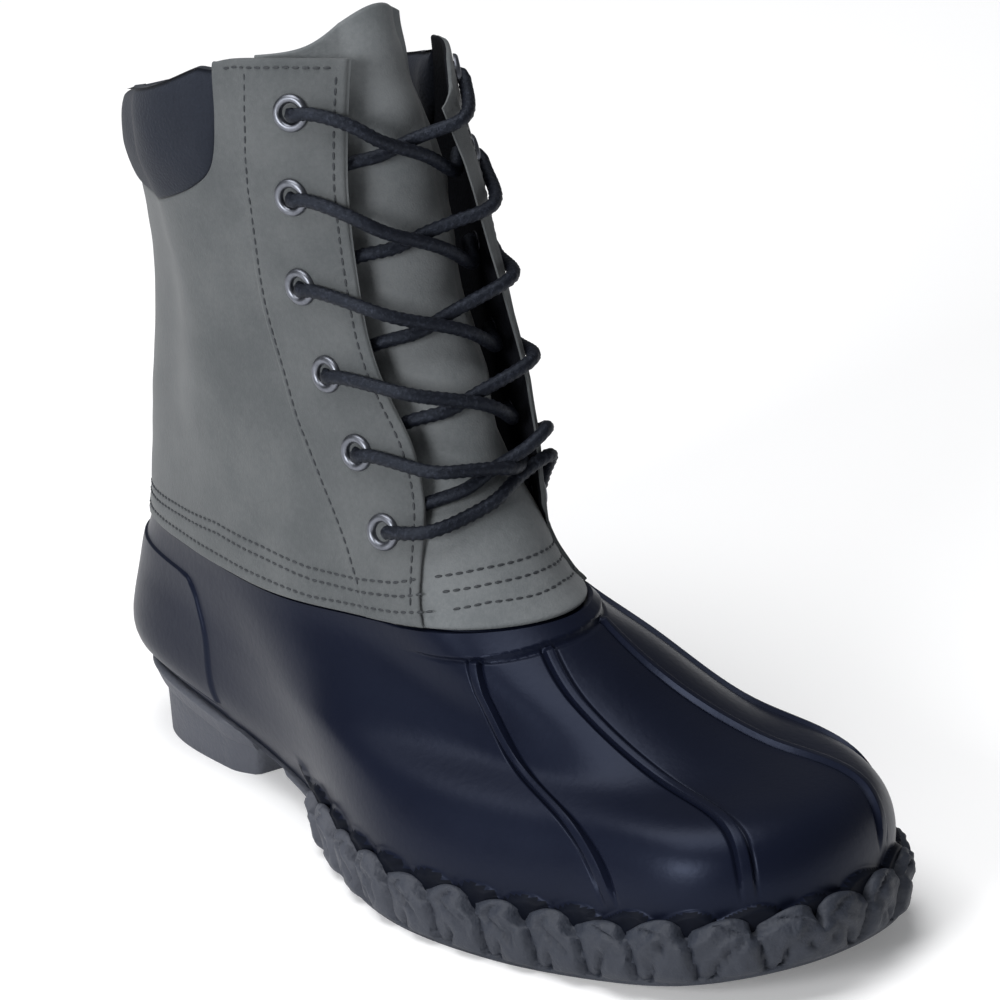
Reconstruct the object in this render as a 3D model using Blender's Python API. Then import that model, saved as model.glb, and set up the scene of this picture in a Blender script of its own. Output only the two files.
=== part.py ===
"""A right duck boot: a moulded rubber bottom and sole with a laced leather shaft.

The boot stands on its sole at z = 0, with +X to the toe, +Y to the inner side of the foot and +Z up.
Every piece is worked out from one surface of the last. A point of it is given by phi, the share of the way
round from the front centre by the outer side, the heel and the inner side, and by t, the height in sections.
"""
from collections import namedtuple

import bpy
import numpy as np
from mathutils import Vector
from mathutils.bvhtree import BVHTree

# Driving sizes in metres
LENGTH = 0.300            # heel to toe of the upper
BALL = 0.055              # half of the ball's width
HEEL = 0.041              # half of the heel's width
SHAFT = 0.044             # half of the shaft's width
SEAM_HEIGHT = 0.076       # floor to the seam of leather and rubber, at the ankle
SHAFT_RISE = 0.150        # seam to collar, at the ankle
TOE_SWING = 0.016         # how far the toe turns to the inner side
SOLE_DIP = 0.012          # how far the feather line drops from heel to ball

CLEAR = 0.0003            # gap between pieces that touch
RUBBER_WALL = 0.0022
LEATHER_WALL = 0.0018
LEATHER_PROUD = 0.0011    # leather's outer face over the rubber's
RUBBER_STEP = 0.0019      # the rubber steps in under the leather
RIB_HEIGHT = 0.0014
BAND_HEIGHT = 0.0010
COUNTER_HEIGHT = 0.0008
FLAP_STEP = 0.0012        # the lacing flaps lie on the front band
FLARE_LATERAL = 0.0025    # how far the lacing flaps stand off at their edges
FLARE_MEDIAL = 0.0060

HEEL_BREAST = 0.0755      # front of the heel block, from the upper's back
HEEL_SEAT = 0.0025        # length of the sloping breast
FORE_START = 0.150        # the forefoot lies flat from here
FORE_END = 0.225          # to here, and then rises to the toe
ARCH_RISE = 0.0165        # the arch over the floor, at the breast
TOE_SPRING = 0.0108
RIM_START = 0.104         # the foxing rim fades in between these two
RIM_FULL = 0.124
RIM_T = (.31, .62)          # where the rim's inner side lies on the rubber
ARCH_INSET = 0.0060       # how far the plate hides under the upper at the arch,
ARCH_IN = (.066, .084)    # between these places along the boot
ARCH_OUT = (.090, .105)
LOBES = 9                 # scallops of the foxing on each side
LOBE_DEPTH = 0.0016
LOBE_DROP = 0.0022
TREAD_DEPTH = 0.0032
TREAD_WIDTH = 0.0042
TREAD_LEAN = 0.008        # how far each groove zigzags
TREAD_PITCH = 0.0205
HEEL_TREAD = (.018, .038, .057)

INSOLE_THICKNESS = 0.003
INSOLE_INSET = 0.0010

TONGUE_THICKNESS = 0.0024
TONGUE_RISE = 0.25        # top of the tongue over the collar, in sections
TONGUE_CROWN = 0.0030     # depth of the tongue's middle below the last
TONGUE_DEPTH = 0.0064     # depth of the tongue's sides below the last
TONGUE_EASE = 0.0002      # extra room behind the front band
TONGUE_START = .17        # its lower end over the seam, in sections
TONGUE_PEAK = .04         # how wide the round of its top is, as a share of the way round
TONGUE_T = (5.3, 5.36, 6.0, 9.0)
TONGUE_HALF = (.062, .064, .105, .112)    # half of its width at those heights

PAD_BULGE = 0.0026
PAD_THICKNESS = 0.0070
PAD_LIFT = .011           # gap under the pad, in sections

EYELET_BORE = 0.0026
EYELET_BARREL = 0.0033
EYELET_FLANGE = 0.0049
EYELET_HEIGHT = 0.0009
EYELET_REACH = 0.0050     # half of the length of the cylinder that cuts an eyelet's hole
EYELET_SIDES = 8
LACE_RADIUS = 0.0020
LACE_END = .0165          # the lace's solids stop this share of the way round from the eyelets
LACE_NEARER = (.0008, .0001, -.0001, .0003, .0001)    # how much nearer to the tongue each crossing lies

# One row per section of the last, from the feather line to above the collar. Lengths are shares of LENGTH, and
# heights are 0 at the floor, 1 at the seam and 2 at the collar. The rounds are shares of the section's own
# length. Heel widths are shares of HEEL, or of the row's own half width on the shaft, and the others of that
# half width. The swing is a share of TOE_SWING, and dip says how much of the sole's dip the row follows.
Section = namedtuple("Section", "name half back front z_back z_front back_round front_round heel waist_lat "
                                "waist_med ball_lat ball_med toe_lat toe_med swing dip")
SECTIONS = [Section(*row) for row in (
    ("feather", BALL, .017, 1.003, .329, .237, .14, .17, .915, .64, .55, .96, .90, .73, .99, 1, 1),
    ("wall", BALL, -.008, 1.008, .434, .461, .15, .18, 1.02, .71, .65, 1.02, .97, .79, 1.08, 1, .95),
    ("bulge", BALL, -.013, .980, .579, .658, .16, .19, 1.00, .75, .69, .97, .945, .745, 1.045, 1, .70),
    ("vamp", BALL, -.013, .880, .697, .737, .18, .22, .95, .75, .73, .85, .83, .64, .88, .88, .45),
    ("throat", BALL, -.008, .747, .796, .934, .20, .24, .90, .74, .73, .765, .735, .60, .73, .47, .30),
    ("seam", BALL, -.002, .648, .882, 1.060, .23, .26, .86, .72, .71, .73, .70, .635, .60, .19, .22),
    ("instep", SHAFT, .015, .550, 1.200, 1.380, .25, .28, .727, .85, .84, .83, .82, .73, .705, .06, 0),
    ("ankle", SHAFT, .030, .493, 1.460, 1.600, .28, .30, .705, .865, .865, .865, .865, .775, .775, 0, 0),
    ("shaft", SHAFT, .027, .452, 1.740, 1.853, .28, .30, .784, .955, .955, .955, .955, .84, .84, 0, 0),
    ("collar", SHAFT, .022, .420, 1.907, 2.087, .28, .30, .784, 1.01, 1.0, 1.02, 1.0, .84, .865, 0, 0),
    ("above", SHAFT, .017, .397, 2.067, 2.307, .28, .30, .784, 1.02, 1.02, 1.02, 1.02, .84, .865, 0, 0),
)]
SEAM = 5.0                # t of the leather's lower edge
COLLAR = 9.0              # t of the collar

# The sole's dip along the boot: x as a share of LENGTH, depth as a share of SOLE_DIP
DIP = np.array([(-.03, 0), (.10, 0), (.20, .08), (.27, .33), (.35, .79), (.43, .97), (.55, 1.0), (.68, .97),
                (.82, .78), (.93, .29), (1.03, -.08)])

# Ribs of the vamp: signed phi of each ridge at a few heights. Outer side is positive.
RIB_T = np.array([0, 1.5, 2.8, 4.0, 4.78])
RIBS = {
    "outer": (.115, .119, .126, .095, .060),
    "middle": (.029, .031, .028, .030, .014),
    "inner": (-.056, -.056, -.060, -.040, -.046),
    "far": (-.118, -.120, -.121, -.112, -.115),
}
RIB_HALF = .0045          # half of a rib's foot, as a share of the way round
RIB_TOP = .0018           # half of a rib's crest
RIB_START = 1.5           # t where the ribs reach their full height
BAND_T = (4.78, 4.83, 4.95)    # t of the band's lower edge, its face's start and its top
COUNTER_PSI = (.332, .342)     # where the heel counter's front edge starts and ends, and its top edge below
COUNTER_T = (3.95, 4.10)
BAND_FADE = (.07, .13)    # signed phi where the band runs out at the sides
TUCK_FRONT = .12          # how far the rubber reaches up behind the leather, in sections
TUCK_SIDE = .30

# Edge of the lacing flaps: signed phi at a few heights, the same on both sides
FLAP_T = np.array([5.0, 5.26, 5.6, 6.3, 7.2, 8.0, 9.1])
FLAP_PSI = np.array([.082, .065, .050, .054, .051, .044, .026])
BAND_TOP = 5.36           # t of the front band's top edge
FLARE_REACH = .055        # the flare fades out over this share of the way round
FLARE_T = (BAND_TOP, 5.56, 5.85, 6.2)
FLARE_SHARE = (0, .45, .85, 1)
STEP_REACH = .03          # the flap's extra thickness fades out over this share of the way round
STEP_TOP = .3             # and ends this many sections over the front band
FLAP_BEVEL = .0016        # width of the flap's cut edge, as a share of the way round

# Eyelets, top to bottom
Eyelet = namedtuple("Eyelet", "t psi")
EYELETS = [Eyelet(*row) for row in (
    (8.65, .070), (7.95, .083), (7.28, .094), (6.56, .095), (5.95, .090), (5.52, .080))]

# The collar pad's outline on the leather: signed phi, the t of its lower edge and the t of the top edge there
PAD_PSI = np.array([.140, .160, .180, .220, .315, .500])
PAD_LOW = np.array([8.30, 8.20, 8.06, 7.93, 7.79, 7.75])
PAD_TOP = np.array([9.12, 9.03, 8.96, 8.88, 8.85, 8.85])
PAD_EDGE = .150           # signed phi of the pad's front edges

# The leather's top edge from the throat to the pad
COLLAR_PSI = (0, .03, .10, .14)
COLLAR_T = (9.0, 9.02, 9.14, 9.12)

# How much lower the inner side's top edges lie, in sections: the leather's, and the pad's at its middle
LEATHER_LOWER, PAD_LOWER = .15, .27

# Columns from the side round to the heel, as signed phi: the rubber's and the sole's, then the leather's
SIDE_PSI = (.155, .180, .205, .230, .255, .275, .292, .312)
HEEL_PSI = (.365, .385, .405, .425, .445, .463, .482)
PAD_COLUMNS = (PAD_EDGE, .170, .195, .225, .260, .300, .337, .365, .393, .420, .447, .474)


def height(share):
    """A height from its share: 0 at the floor, 1 at the seam and 2 at the collar."""
    low = np.minimum(share, 1.0) * SEAM_HEIGHT
    high = np.maximum(share - 1.0, 0.0) * SHAFT_RISE
    return low + high


def spline_weights(knots, at, round_length=None):
    """Rows of weights that turn values at the knots into values of the smooth cubic through them at `at`.

    The cubic has continuous curvature, with free ends, or closed on itself where round_length is given.
    """
    k, at = np.asarray(knots, float), np.asarray(at, float)
    n = len(k)
    system, right = np.zeros((n, n)), np.zeros((n, n))
    if round_length is None:
        step = np.diff(k)
        system[0, 0] = system[-1, -1] = 1.0
        inner = range(1, n - 1)
    else:
        step = np.append(np.diff(k), round_length - k[-1] + k[0])
        at = np.mod(at - k[0], round_length) + k[0]
        inner = range(n)
    for i in inner:
        before, after = step[i - 1], step[i]
        system[i, i - 1] += before
        system[i, i] += 2 * (before + after)
        system[i, (i + 1) % n] += after
        right[i, i - 1] += 6 / before
        right[i, i] -= 6 / before + 6 / after
        right[i, (i + 1) % n] += 6 / after
    bend = np.linalg.solve(system, right)
    i = np.clip(np.searchsorted(k, at, side="right") - 1, 0, len(step) - 1)
    j = (i + 1) % n
    f = (at - k[i]) / step[i]
    g = 1 - f
    weights = np.zeros((len(at), n))
    rows = np.arange(len(at))
    weights[rows, i] += g
    weights[rows, j] += f
    scale = step[i] ** 2 / 6
    weights += ((g ** 3 - g) * scale)[:, None] * bend[i] + ((f ** 3 - f) * scale)[:, None] * bend[j]
    return weights


def smooth_line(knots, values, at):
    """Values at `at` of the smooth cubic through a short table."""
    at = np.clip(np.asarray(at, float), knots[0], knots[-1])
    return (spline_weights(knots, at.ravel()) @ np.asarray(values, float)).reshape(at.shape)


def sole_dip(x):
    return SOLE_DIP * smooth_line(DIP[:, 0] * LENGTH, DIP[:, 1], x)


def section_loop(s):
    """Fourteen points round one section, from the front by the outer side, the heel and the inner side."""
    heel = (HEEL if s.half == BALL else s.half) * s.heel
    span = 1 - s.back_round - s.front_round
    loop = [(1.0, 0.0)]
    for toe, ball, waist in ((s.toe_lat, s.ball_lat, s.waist_lat), (s.toe_med, s.ball_med, s.waist_med)):
        side = [(1 - .2 * s.front_round, .6 * toe * s.half), (1 - s.front_round, toe * s.half),
                (s.back_round + .70 * span, ball * s.half), (s.back_round + .34 * span, waist * s.half),
                (s.back_round, heel), (.2 * s.back_round, .6 * heel)]
        if len(loop) == 1:
            loop += [(u, -y) for u, y in side] + [(0.0, 0.0)]
        else:
            loop += side[::-1]
    u, y = np.array(loop).T
    x = LENGTH * (s.back + (s.front - s.back) * u)
    y = y + TOE_SWING * s.swing * np.clip((u - .35) / .65, 0, 1) ** 1.5
    z_back, z_front = height(np.array([s.z_back, s.z_front]))
    return np.stack([x, y, z_back + (z_front - z_back) * u - s.dip * sole_dip(x)], -1)


NET = np.array([section_loop(s) for s in SECTIONS])
SPACING = np.linalg.norm(np.roll(NET, -1, 1) - NET, axis=-1)
AROUND = np.concatenate([[0], np.cumsum((SPACING / SPACING.sum(1, keepdims=True)).mean(0))[:-1]])
UP = np.concatenate([[0], np.cumsum(np.linalg.norm(np.diff(NET, axis=0), axis=-1).mean(1))])


def last(phi, t):
    """Points of the last at pairs of phi and t, arrays of one shape."""
    phi, t = np.broadcast_arrays(np.asarray(phi, float), np.asarray(t, float))
    up = spline_weights(UP, np.interp(t.ravel(), np.arange(len(SECTIONS)), UP))
    around = spline_weights(AROUND, phi.ravel(), 1.0)
    return np.einsum("na,abc,nb->nc", up, NET, around).reshape(phi.shape + (3,))


def outward(phi, t):
    """Unit normals of the last, from its slopes up and round."""
    phi, t = np.broadcast_arrays(np.asarray(phi, float), np.asarray(t, float))
    small = 1e-3
    up = last(phi, t + small) - last(phi, t - small)
    around = last(phi + small, t) - last(phi - small, t)
    n = np.cross(up, around)
    return n / np.linalg.norm(n, axis=-1, keepdims=True)


def on_last(psi, t, off):
    """Points at a distance off outside the last. psi is signed: positive on the outer side of the foot."""
    psi, t, off = np.broadcast_arrays(*(np.asarray(v, float) for v in (psi, t, off)))
    return last(psi, t) + outward(psi, t) * off[..., None]


def ramp(x, low, high):
    """A smooth step from 0 at low to 1 at high."""
    f = np.clip((np.asarray(x, float) - low) / (high - low), 0, 1)
    return f * f * (3 - 2 * f)


def material(name, colour, roughness, metallic=0.0):
    m = bpy.data.materials.new(name)
    m.use_nodes = True
    shader = m.node_tree.nodes["Principled BSDF"]
    shader.inputs["Base Color"].default_value = (*colour, 1)
    shader.inputs["Roughness"].default_value = roughness
    shader.inputs["Metallic"].default_value = metallic
    return m


def make_object(name, points, faces, finish):
    """One closed mesh from points and faces; points that no face uses are left out."""
    used = sorted({v for face in faces for v in face})
    new_index = {old: new for new, old in enumerate(used)}
    mesh = bpy.data.meshes.new(name)
    mesh.from_pydata([tuple(points[v]) for v in used], [], [[new_index[v] for v in face] for face in faces])
    mesh.materials.append(finish)
    mesh.shade_smooth()
    mesh.set_sharp_from_angle(angle=np.radians(40))
    thing = bpy.data.objects.new(name, mesh)
    bpy.context.collection.objects.link(thing)
    return thing


def walled(name, outer, inner, keep, ring, finish):
    """A wall between two grids, rows up and columns round, with a rim wherever a cell is left out."""
    rows, columns = outer.shape[:2]
    count = rows * columns
    points = np.concatenate([outer.reshape(-1, 3), inner.reshape(-1, 3)])
    skin = []
    for i in range(rows - 1):
        for j in range(columns if ring else columns - 1):
            if keep[i, j]:
                k = (j + 1) % columns
                skin.append((i * columns + j, (i + 1) * columns + j, (i + 1) * columns + k, i * columns + k))
    faces = skin + [tuple(v + count for v in face[::-1]) for face in skin]
    edges = {(face[n], face[(n + 1) % 4]) for face in skin for n in range(4)}
    faces += [(b, a, a + count, b + count) for a, b in sorted(edges) if (b, a) not in edges]
    return make_object(name, points, faces, finish)


def add_boolean(thing, other, operation):
    """Cuts a hidden mesh out of another one, or joins it on, by a modifier."""
    other.hide_render = True
    other.display_type = "WIRE"
    change = thing.modifiers.new(operation.lower(), "BOOLEAN")
    change.operation = operation
    change.solver = "EXACT"
    change.object = other


def rib_psi(name, t):
    return smooth_line(RIB_T, RIBS[name], t)


def flap_psi(t):
    return smooth_line(FLAP_T, FLAP_PSI, t)


def shell_columns(t):
    """Signed phi of each column of the rubber shell at height t, from the inner side to the outer one."""
    back = [s * p for s in (-1, 1) for p in SIDE_PSI + COUNTER_PSI + HEEL_PSI]
    columns = [np.full_like(t, p) for p in back] + [np.full_like(t, .5)]
    ribs = [rib_psi(name, t) for name in ("far", "inner", "middle", "outer")]
    for rib in ribs:
        columns += [rib - RIB_HALF, rib - RIB_TOP, rib + RIB_TOP, rib + RIB_HALF]
    for low, high, between in ((ribs[0], ribs[1], 3), (ribs[1], ribs[2], 4), (ribs[2], ribs[3], 4)):
        for n in range(1, between + 1):
            columns.append(low + (high - low) * n / (between + 1))
    columns.sort(key=lambda c: c[0])
    return np.stack(columns, -1)


def build_shell(finish):
    """The moulded rubber bottom: ribs, band and counter are steps in its wall, and it steps in at the top."""
    t = np.array([0, *RIM_T, 1.0, 1.5, 2.1, 2.8, 3.5, *COUNTER_T, 4.5, *BAND_T, SEAM, 0])
    psi = shell_columns(t)
    t = np.broadcast_to(t[:, None], psi.shape).copy()
    t[-1] = SEAM + TUCK_FRONT + (TUCK_SIDE - TUCK_FRONT) * ramp(np.abs(psi[-1]), *BAND_FADE)
    off = np.zeros_like(psi)
    for name in RIBS:
        away = np.abs(psi - rib_psi(name, t))
        crest = np.clip((RIB_HALF - away) / (RIB_HALF - RIB_TOP), 0, 1)
        off += RIB_HEIGHT * crest * ramp(t, RIM_T[1], RIB_START) * (t < BAND_T[0] + .01)
    front = 1 - ramp(np.abs(psi), *BAND_FADE)
    off += BAND_HEIGHT * front * ((t > BAND_T[0] + .01) & (t < SEAM - .01))
    counter = (np.abs(psi) > COUNTER_PSI[1] - .001) & (t < COUNTER_T[0] + .01) & (t > RIM_T[1] + .01)
    off += COUNTER_HEIGHT * counter
    under = np.where(t > SEAM - .01, -RUBBER_STEP, 0.0)
    outer = on_last(psi, t, off + under)
    inner = on_last(psi, t, under - RUBBER_WALL)
    return walled("upper_rubber_shell", outer, inner, np.ones(psi.shape, bool), True, finish)


def flare(psi, t):
    """How far a lacing flap stands off the last: most at its edge, and not where it is sewn to the band."""
    most = np.where(psi > 0, FLARE_LATERAL, FLARE_MEDIAL)
    near = np.clip(1 - (np.abs(psi) - flap_psi(t)) / FLARE_REACH, 0, 1)
    return most * near ** 2 * np.interp(t, FLARE_T, FLARE_SHARE)


def flap_step(psi, t):
    """How much thicker the flap is where it lies on the front band."""
    over = np.abs(psi) - flap_psi(t)
    sewn = (over > -.3 * FLAP_BEVEL) & (t < BAND_TOP + STEP_TOP)
    return FLAP_STEP * np.clip(1 - over / STEP_REACH, 0, 1) * sewn


def leather_top(psi):
    """t of the leather's top edge beside the throat."""
    return np.interp(np.abs(psi), COLLAR_PSI, COLLAR_T) - LEATHER_LOWER * (psi < 0)


def pad_low(psi):
    return smooth_line(PAD_PSI, PAD_LOW, np.abs(psi))


def pad_top(phi):
    """t of the pad's top edge, which slopes down behind the heel to the inner side."""
    even = smooth_line(PAD_PSI, PAD_TOP, np.minimum(phi, 1 - phi))
    return even - PAD_LOWER * ramp(phi, .32, .60) + (PAD_LOWER - LEATHER_LOWER) * ramp(phi, .74, .85)


def build_shaft(finish):
    """The leather shaft: a front band, two flared lacing flaps and a notch at the back for the collar pad."""
    level = np.array([SEAM, 5.14, *FLARE_T, 6.6, 7.0, 7.4])
    steps = np.array([0, .28, .62, 1.0])
    rows = len(level) + len(steps)
    lower = len(level)
    edge = flap_psi(np.append(level, PAD_LOW[0] + steps * (COLLAR - PAD_LOW[0])))
    band = [edge * f for f in (-.8, -.6, -.4, -.2, 0, .2, .4, .6, .8)]
    sides = []
    for s in (-1, 1):
        sides += [s * (edge - FLAP_BEVEL), s * edge]
        sides += [s * (edge + (PAD_EDGE - edge) * f) for f in (.25, .5, .75)]
        sides += [np.full(rows, s * p) for p in PAD_COLUMNS]
    columns = band + sides + [np.full(rows, .5)]
    columns.sort(key=lambda c: c[0])
    psi = np.stack(columns, -1)
    t = np.empty_like(psi)
    t[:lower] = level[:, None]
    front = np.abs(psi[lower]) < PAD_EDGE - .001
    low = np.where(front, PAD_LOW[0], pad_low(psi[lower]))
    high = leather_top(psi[lower])
    t[lower:] = low + (high - low) * steps[:, None]
    off = LEATHER_PROUD + flap_step(psi, t)
    stand = flare(psi, t)
    outer = on_last(psi, t, off + stand)
    inner = on_last(psi, t, LEATHER_PROUD - LEATHER_WALL + stand)
    keep = np.ones(psi.shape, bool)
    following = np.roll(psi, -1, 1)
    middle = np.abs((psi + following) / 2)
    middle[:, -1] = .49
    keep[2:] &= middle[2:] > edge[2:, None] - .0001
    keep[lower:] &= middle[lower:] < PAD_EDGE
    return walled("upper_leather_shaft", outer, inner, keep, True, finish)


def build_pad(finish):
    """The padded collar at the back, which fills the notch in the leather."""
    psi = np.array(PAD_COLUMNS)
    psi[0] += CLEAR / (2 * np.pi * SHAFT)
    psi = np.concatenate([psi, [.5], 1 - psi[::-1]])
    side = np.minimum(psi, 1 - psi)
    share = np.array([0, .12, .45, .8, 1.0])[:, None]
    low = pad_low(side) + PAD_LIFT
    t = low + share * (pad_top(psi) - low)
    crown = ramp(share, -.02, .45) * (1 - .55 * ramp(share, .6, 1.0)) * ramp(side, PAD_EDGE, PAD_EDGE + .04)
    outer = on_last(psi, t, LEATHER_PROUD + PAD_BULGE * crown)
    inner = on_last(psi, t, LEATHER_PROUD - LEATHER_WALL - (PAD_THICKNESS - PAD_BULGE - LEATHER_WALL) * crown)
    return walled("collar_pad", outer, inner, np.ones(t.shape, bool), False, finish)


def tongue_off(psi, t):
    """Distance of the tongue's outer face from the last: it leaves the band and drops behind the flaps."""
    seated = LEATHER_WALL - LEATHER_PROUD + CLEAR + TONGUE_EASE
    crown = np.interp(t, [BAND_TOP, 5.46, 5.9], [seated, seated, TONGUE_CROWN])
    side = np.interp(t, [BAND_TOP, 5.48, 5.62], [seated, .78 * TONGUE_DEPTH, TONGUE_DEPTH])
    middle = np.clip(1 - (psi / (.95 * flap_psi(t))) ** 2, 0, 1)
    return -(side + (crown - side) * middle)


def build_tongue(finish):
    """The wide tongue, from behind the front band to its rounded top over the collar."""
    across = np.array([-1, -.75, -.5, -.3, -.12, .12, .3, .5, .75, 1])
    level = np.array([0, .045, .08, .13, .22, .34, .48, .62, .76, .88, .95, 1.0])[:, None]
    start = SEAM + TONGUE_START
    psi = across * np.interp(start + level * (COLLAR - start), TONGUE_T, TONGUE_HALF)
    top = COLLAR_T[-1] + TONGUE_RISE * np.exp(-(psi / TONGUE_PEAK) ** 2)
    t = start + level * (top - start)
    off = tongue_off(psi, t)
    outer = on_last(psi, t, off)
    inner = on_last(psi, t, off - TONGUE_THICKNESS)
    return walled("tongue", outer, inner, np.ones(t.shape, bool), False, finish)


def feather_table():
    """The feather line, densely: signed phi from the front to the heel on each side, its points and lengths."""
    sides = []
    for s in (1, -1):
        psi = s * np.linspace(0, .5, 400)
        p = last(psi, np.zeros(400))
        length = np.concatenate([[0], np.cumsum(np.linalg.norm(np.diff(p, axis=0), axis=1))])
        sides.append((psi, p, length))
    return sides


def psi_at_x(side, x):
    """Signed phi of the feather line at x, behind its widest front."""
    psi, p, _ = side
    back = slice(120, None)
    return np.interp(-np.asarray(x, float), -p[back, 0], psi[back])


def shell_foot(psi, t, off):
    """Points off the rubber's lower rows, read along the straight lines between its columns."""
    columns = shell_columns(np.full(1, float(t)))[0]
    columns = np.append(columns, columns[0] + 1)
    corners = on_last(columns, t, off)
    at = np.where(psi < columns[0], psi + 1, psi)
    return np.stack([np.interp(at, columns, corners[:, k]) for k in range(3)], -1)


def on_columns(psi):
    """The same stations, with the nearest one moved to each column of the rubber shell."""
    moved = psi.copy()
    for column in shell_columns(np.zeros(1))[0]:
        moved[np.argmin(np.abs(psi - column))] = column
    return moved


def sole_stations():
    """Signed phi of the sole's stations on each side, and each one's place in its scallop, 0 in a groove."""
    result = []
    for side in feather_table():
        psi, _, length = side
        sign = np.sign(psi[-1])
        end = np.interp(abs(psi_at_x(side, RIM_FULL)), np.abs(psi), length)
        share = (np.arange(LOBES)[:, None] + np.array([0, .22, .5, .78])).ravel() / LOBES
        fore = np.interp(share * end, length, np.abs(psi))
        rim, seat, breast = psi_at_x(side, [RIM_FULL, HEEL_BREAST + HEEL_SEAT, HEEL_BREAST]) * sign
        arch = np.array([rim] + [p for p in SIDE_PSI if rim + .004 < p < seat - .004] + [seat])
        between = .5 * (arch[1:] + arch[:-1])
        heel = [p for p in SIDE_PSI + COUNTER_PSI + HEEL_PSI if p > breast + .003]
        stations = np.concatenate([fore, np.sort(np.append(arch, between)), [breast], heel, [.5]]) * sign
        scallop = np.zeros(len(stations))
        scallop[:len(fore)] = np.tile([0, .8, 1, .8], LOBES)
        result.append((stations, scallop))
    return result


def ground(x):
    """Height of the sole's underside: heel block, arch, flat forefoot and toe spring."""
    arch = ARCH_RISE * (np.clip(FORE_START - x, 0, None) / (FORE_START - HEEL_BREAST)) ** 1.6
    toe = TOE_SPRING * (np.clip(x - FORE_END, 0, None) / (LENGTH - FORE_END)) ** 2
    return np.where(x < HEEL_BREAST + .5 * HEEL_SEAT, 0, arch) + toe


# The sole's side below its seat, down to the floor. At the forefoot out is outward from the feather line, and up
# is over that line or, where floor is 1, over the sole's underside. Lobe and dip say how far the point follows the
# scallops, outward and down. At the heel and the arch, heel_out is outward, drop is below the feather line, share
# limits it to that much of the sole's thickness, and inset says how far the point goes in at the arch.
Side = namedtuple("Side", "name out up floor lobe dip heel_out drop share inset")
SOLE_SIDE = [Side(*row) for row in (
    ("edge", .0060, .0088, 0, 1, 1, .0016, .0022, .20, 1),
    ("belly", .0078, .0035, 0, 1, 0, .0006, .0050, .50, 1),
    ("foot", .0066, .0050, 1, 1, 0, -.0012, .0085, .85, 1),
    ("lug", .0052, .0020, 1, 1, 0, -.0022, .0096, .93, 1),
    ("tread", .0040, .0000, 1, 0, 0, -.0028, 1.0, 1.0, 1),
)]
SEAT_DEPTH = .0010        # how far the sole's seat reaches in past the rubber's wall
SHOULDER = ((.0004, .0001), (.0009, .0004))


def sole_column(psi, scallop):
    """The points of the sole's side at the stations psi: an array of stations by side points by 3."""
    foot = last(psi, np.zeros_like(psi))
    ahead = last(psi + 1e-3, np.zeros_like(psi)) - last(psi - 1e-3, np.zeros_like(psi))
    side = np.stack([ahead[:, 1], -ahead[:, 0], np.zeros(len(psi))], -1)
    side /= np.linalg.norm(side, axis=1, keepdims=True)
    side *= np.sign(((foot - foot.mean(0)) * side).sum(1)).mean()
    floor = ground(foot[:, 0])
    rim = ramp(foot[:, 0], RIM_START, RIM_FULL)[:, None]
    inset = ARCH_INSET * ramp(foot[:, 0], *ARCH_IN) * (1 - ramp(foot[:, 0], *ARCH_OUT))
    seat = on_columns(psi)
    columns = [shell_foot(seat, 0, -RUBBER_WALL - SEAT_DEPTH), shell_foot(seat, 0, CLEAR)]
    under = shell_foot(seat, 0, -RUBBER_WALL)
    columns[1][:, 2] = shell_foot(seat, 0, 0)[:, 2] - CLEAR
    columns[0][:, 2] = np.minimum(under[:, 2] - CLEAR, columns[1][:, 2])
    edge = columns[1].copy()
    for t, (out, drop) in zip(RIM_T, SHOULDER):
        heel = edge + side * out - np.array([0, 0, drop])
        columns.append(heel + (shell_foot(seat, t, CLEAR) - heel) * rim)
    for row in SOLE_SIDE:
        fore = foot + side * (row.out - LOBE_DEPTH * row.lobe * (1 - scallop))[:, None]
        fore[:, 2] = (floor if row.floor else foot[:, 2]) + row.up - LOBE_DROP * row.dip * (1 - scallop)
        heel = foot + side * (row.heel_out - inset * row.inset)[:, None]
        heel[:, 2] = foot[:, 2] - np.minimum(row.drop, row.share * (foot[:, 2] - floor))
        columns.append(heel + (fore - heel) * rim)
    return np.stack(columns, 1)


def build_outsole(finish):
    """Sole plate, heel block and forefoot with its scalloped rim, as one moulding, with a tread cut in it."""
    (outer_psi, outer_lobe), (inner_psi, inner_lobe) = sole_stations()
    psi = np.concatenate([outer_psi, inner_psi[-2:0:-1]])
    scallop = np.concatenate([outer_lobe, inner_lobe[-2:0:-1]])
    grid = sole_column(psi, scallop)
    stations, depth = grid.shape[:2]
    points = grid.reshape(-1, 3)
    faces = []
    for i in range(stations):
        j = (i + 1) % stations
        for k in range(depth - 1):
            faces.append((i * depth + k, j * depth + k, j * depth + k + 1, i * depth + k + 1))
    half = stations // 2
    for k, flip in ((0, True), (depth - 1, False)):
        for i in range(half):
            a, b = i, i + 1
            c, d = (stations - i - 1) % stations, (stations - i) % stations
            ring = [v for n, v in enumerate((a, b, c, d)) if v not in (a, b, c, d)[:n]]
            face = [v * depth + k for v in ring]
            faces.append(tuple(face[::-1] if flip else face))
    sole = make_object("outsole", points, faces, finish)
    add_boolean(sole, tread_cutter(finish), "DIFFERENCE")
    return sole


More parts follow.
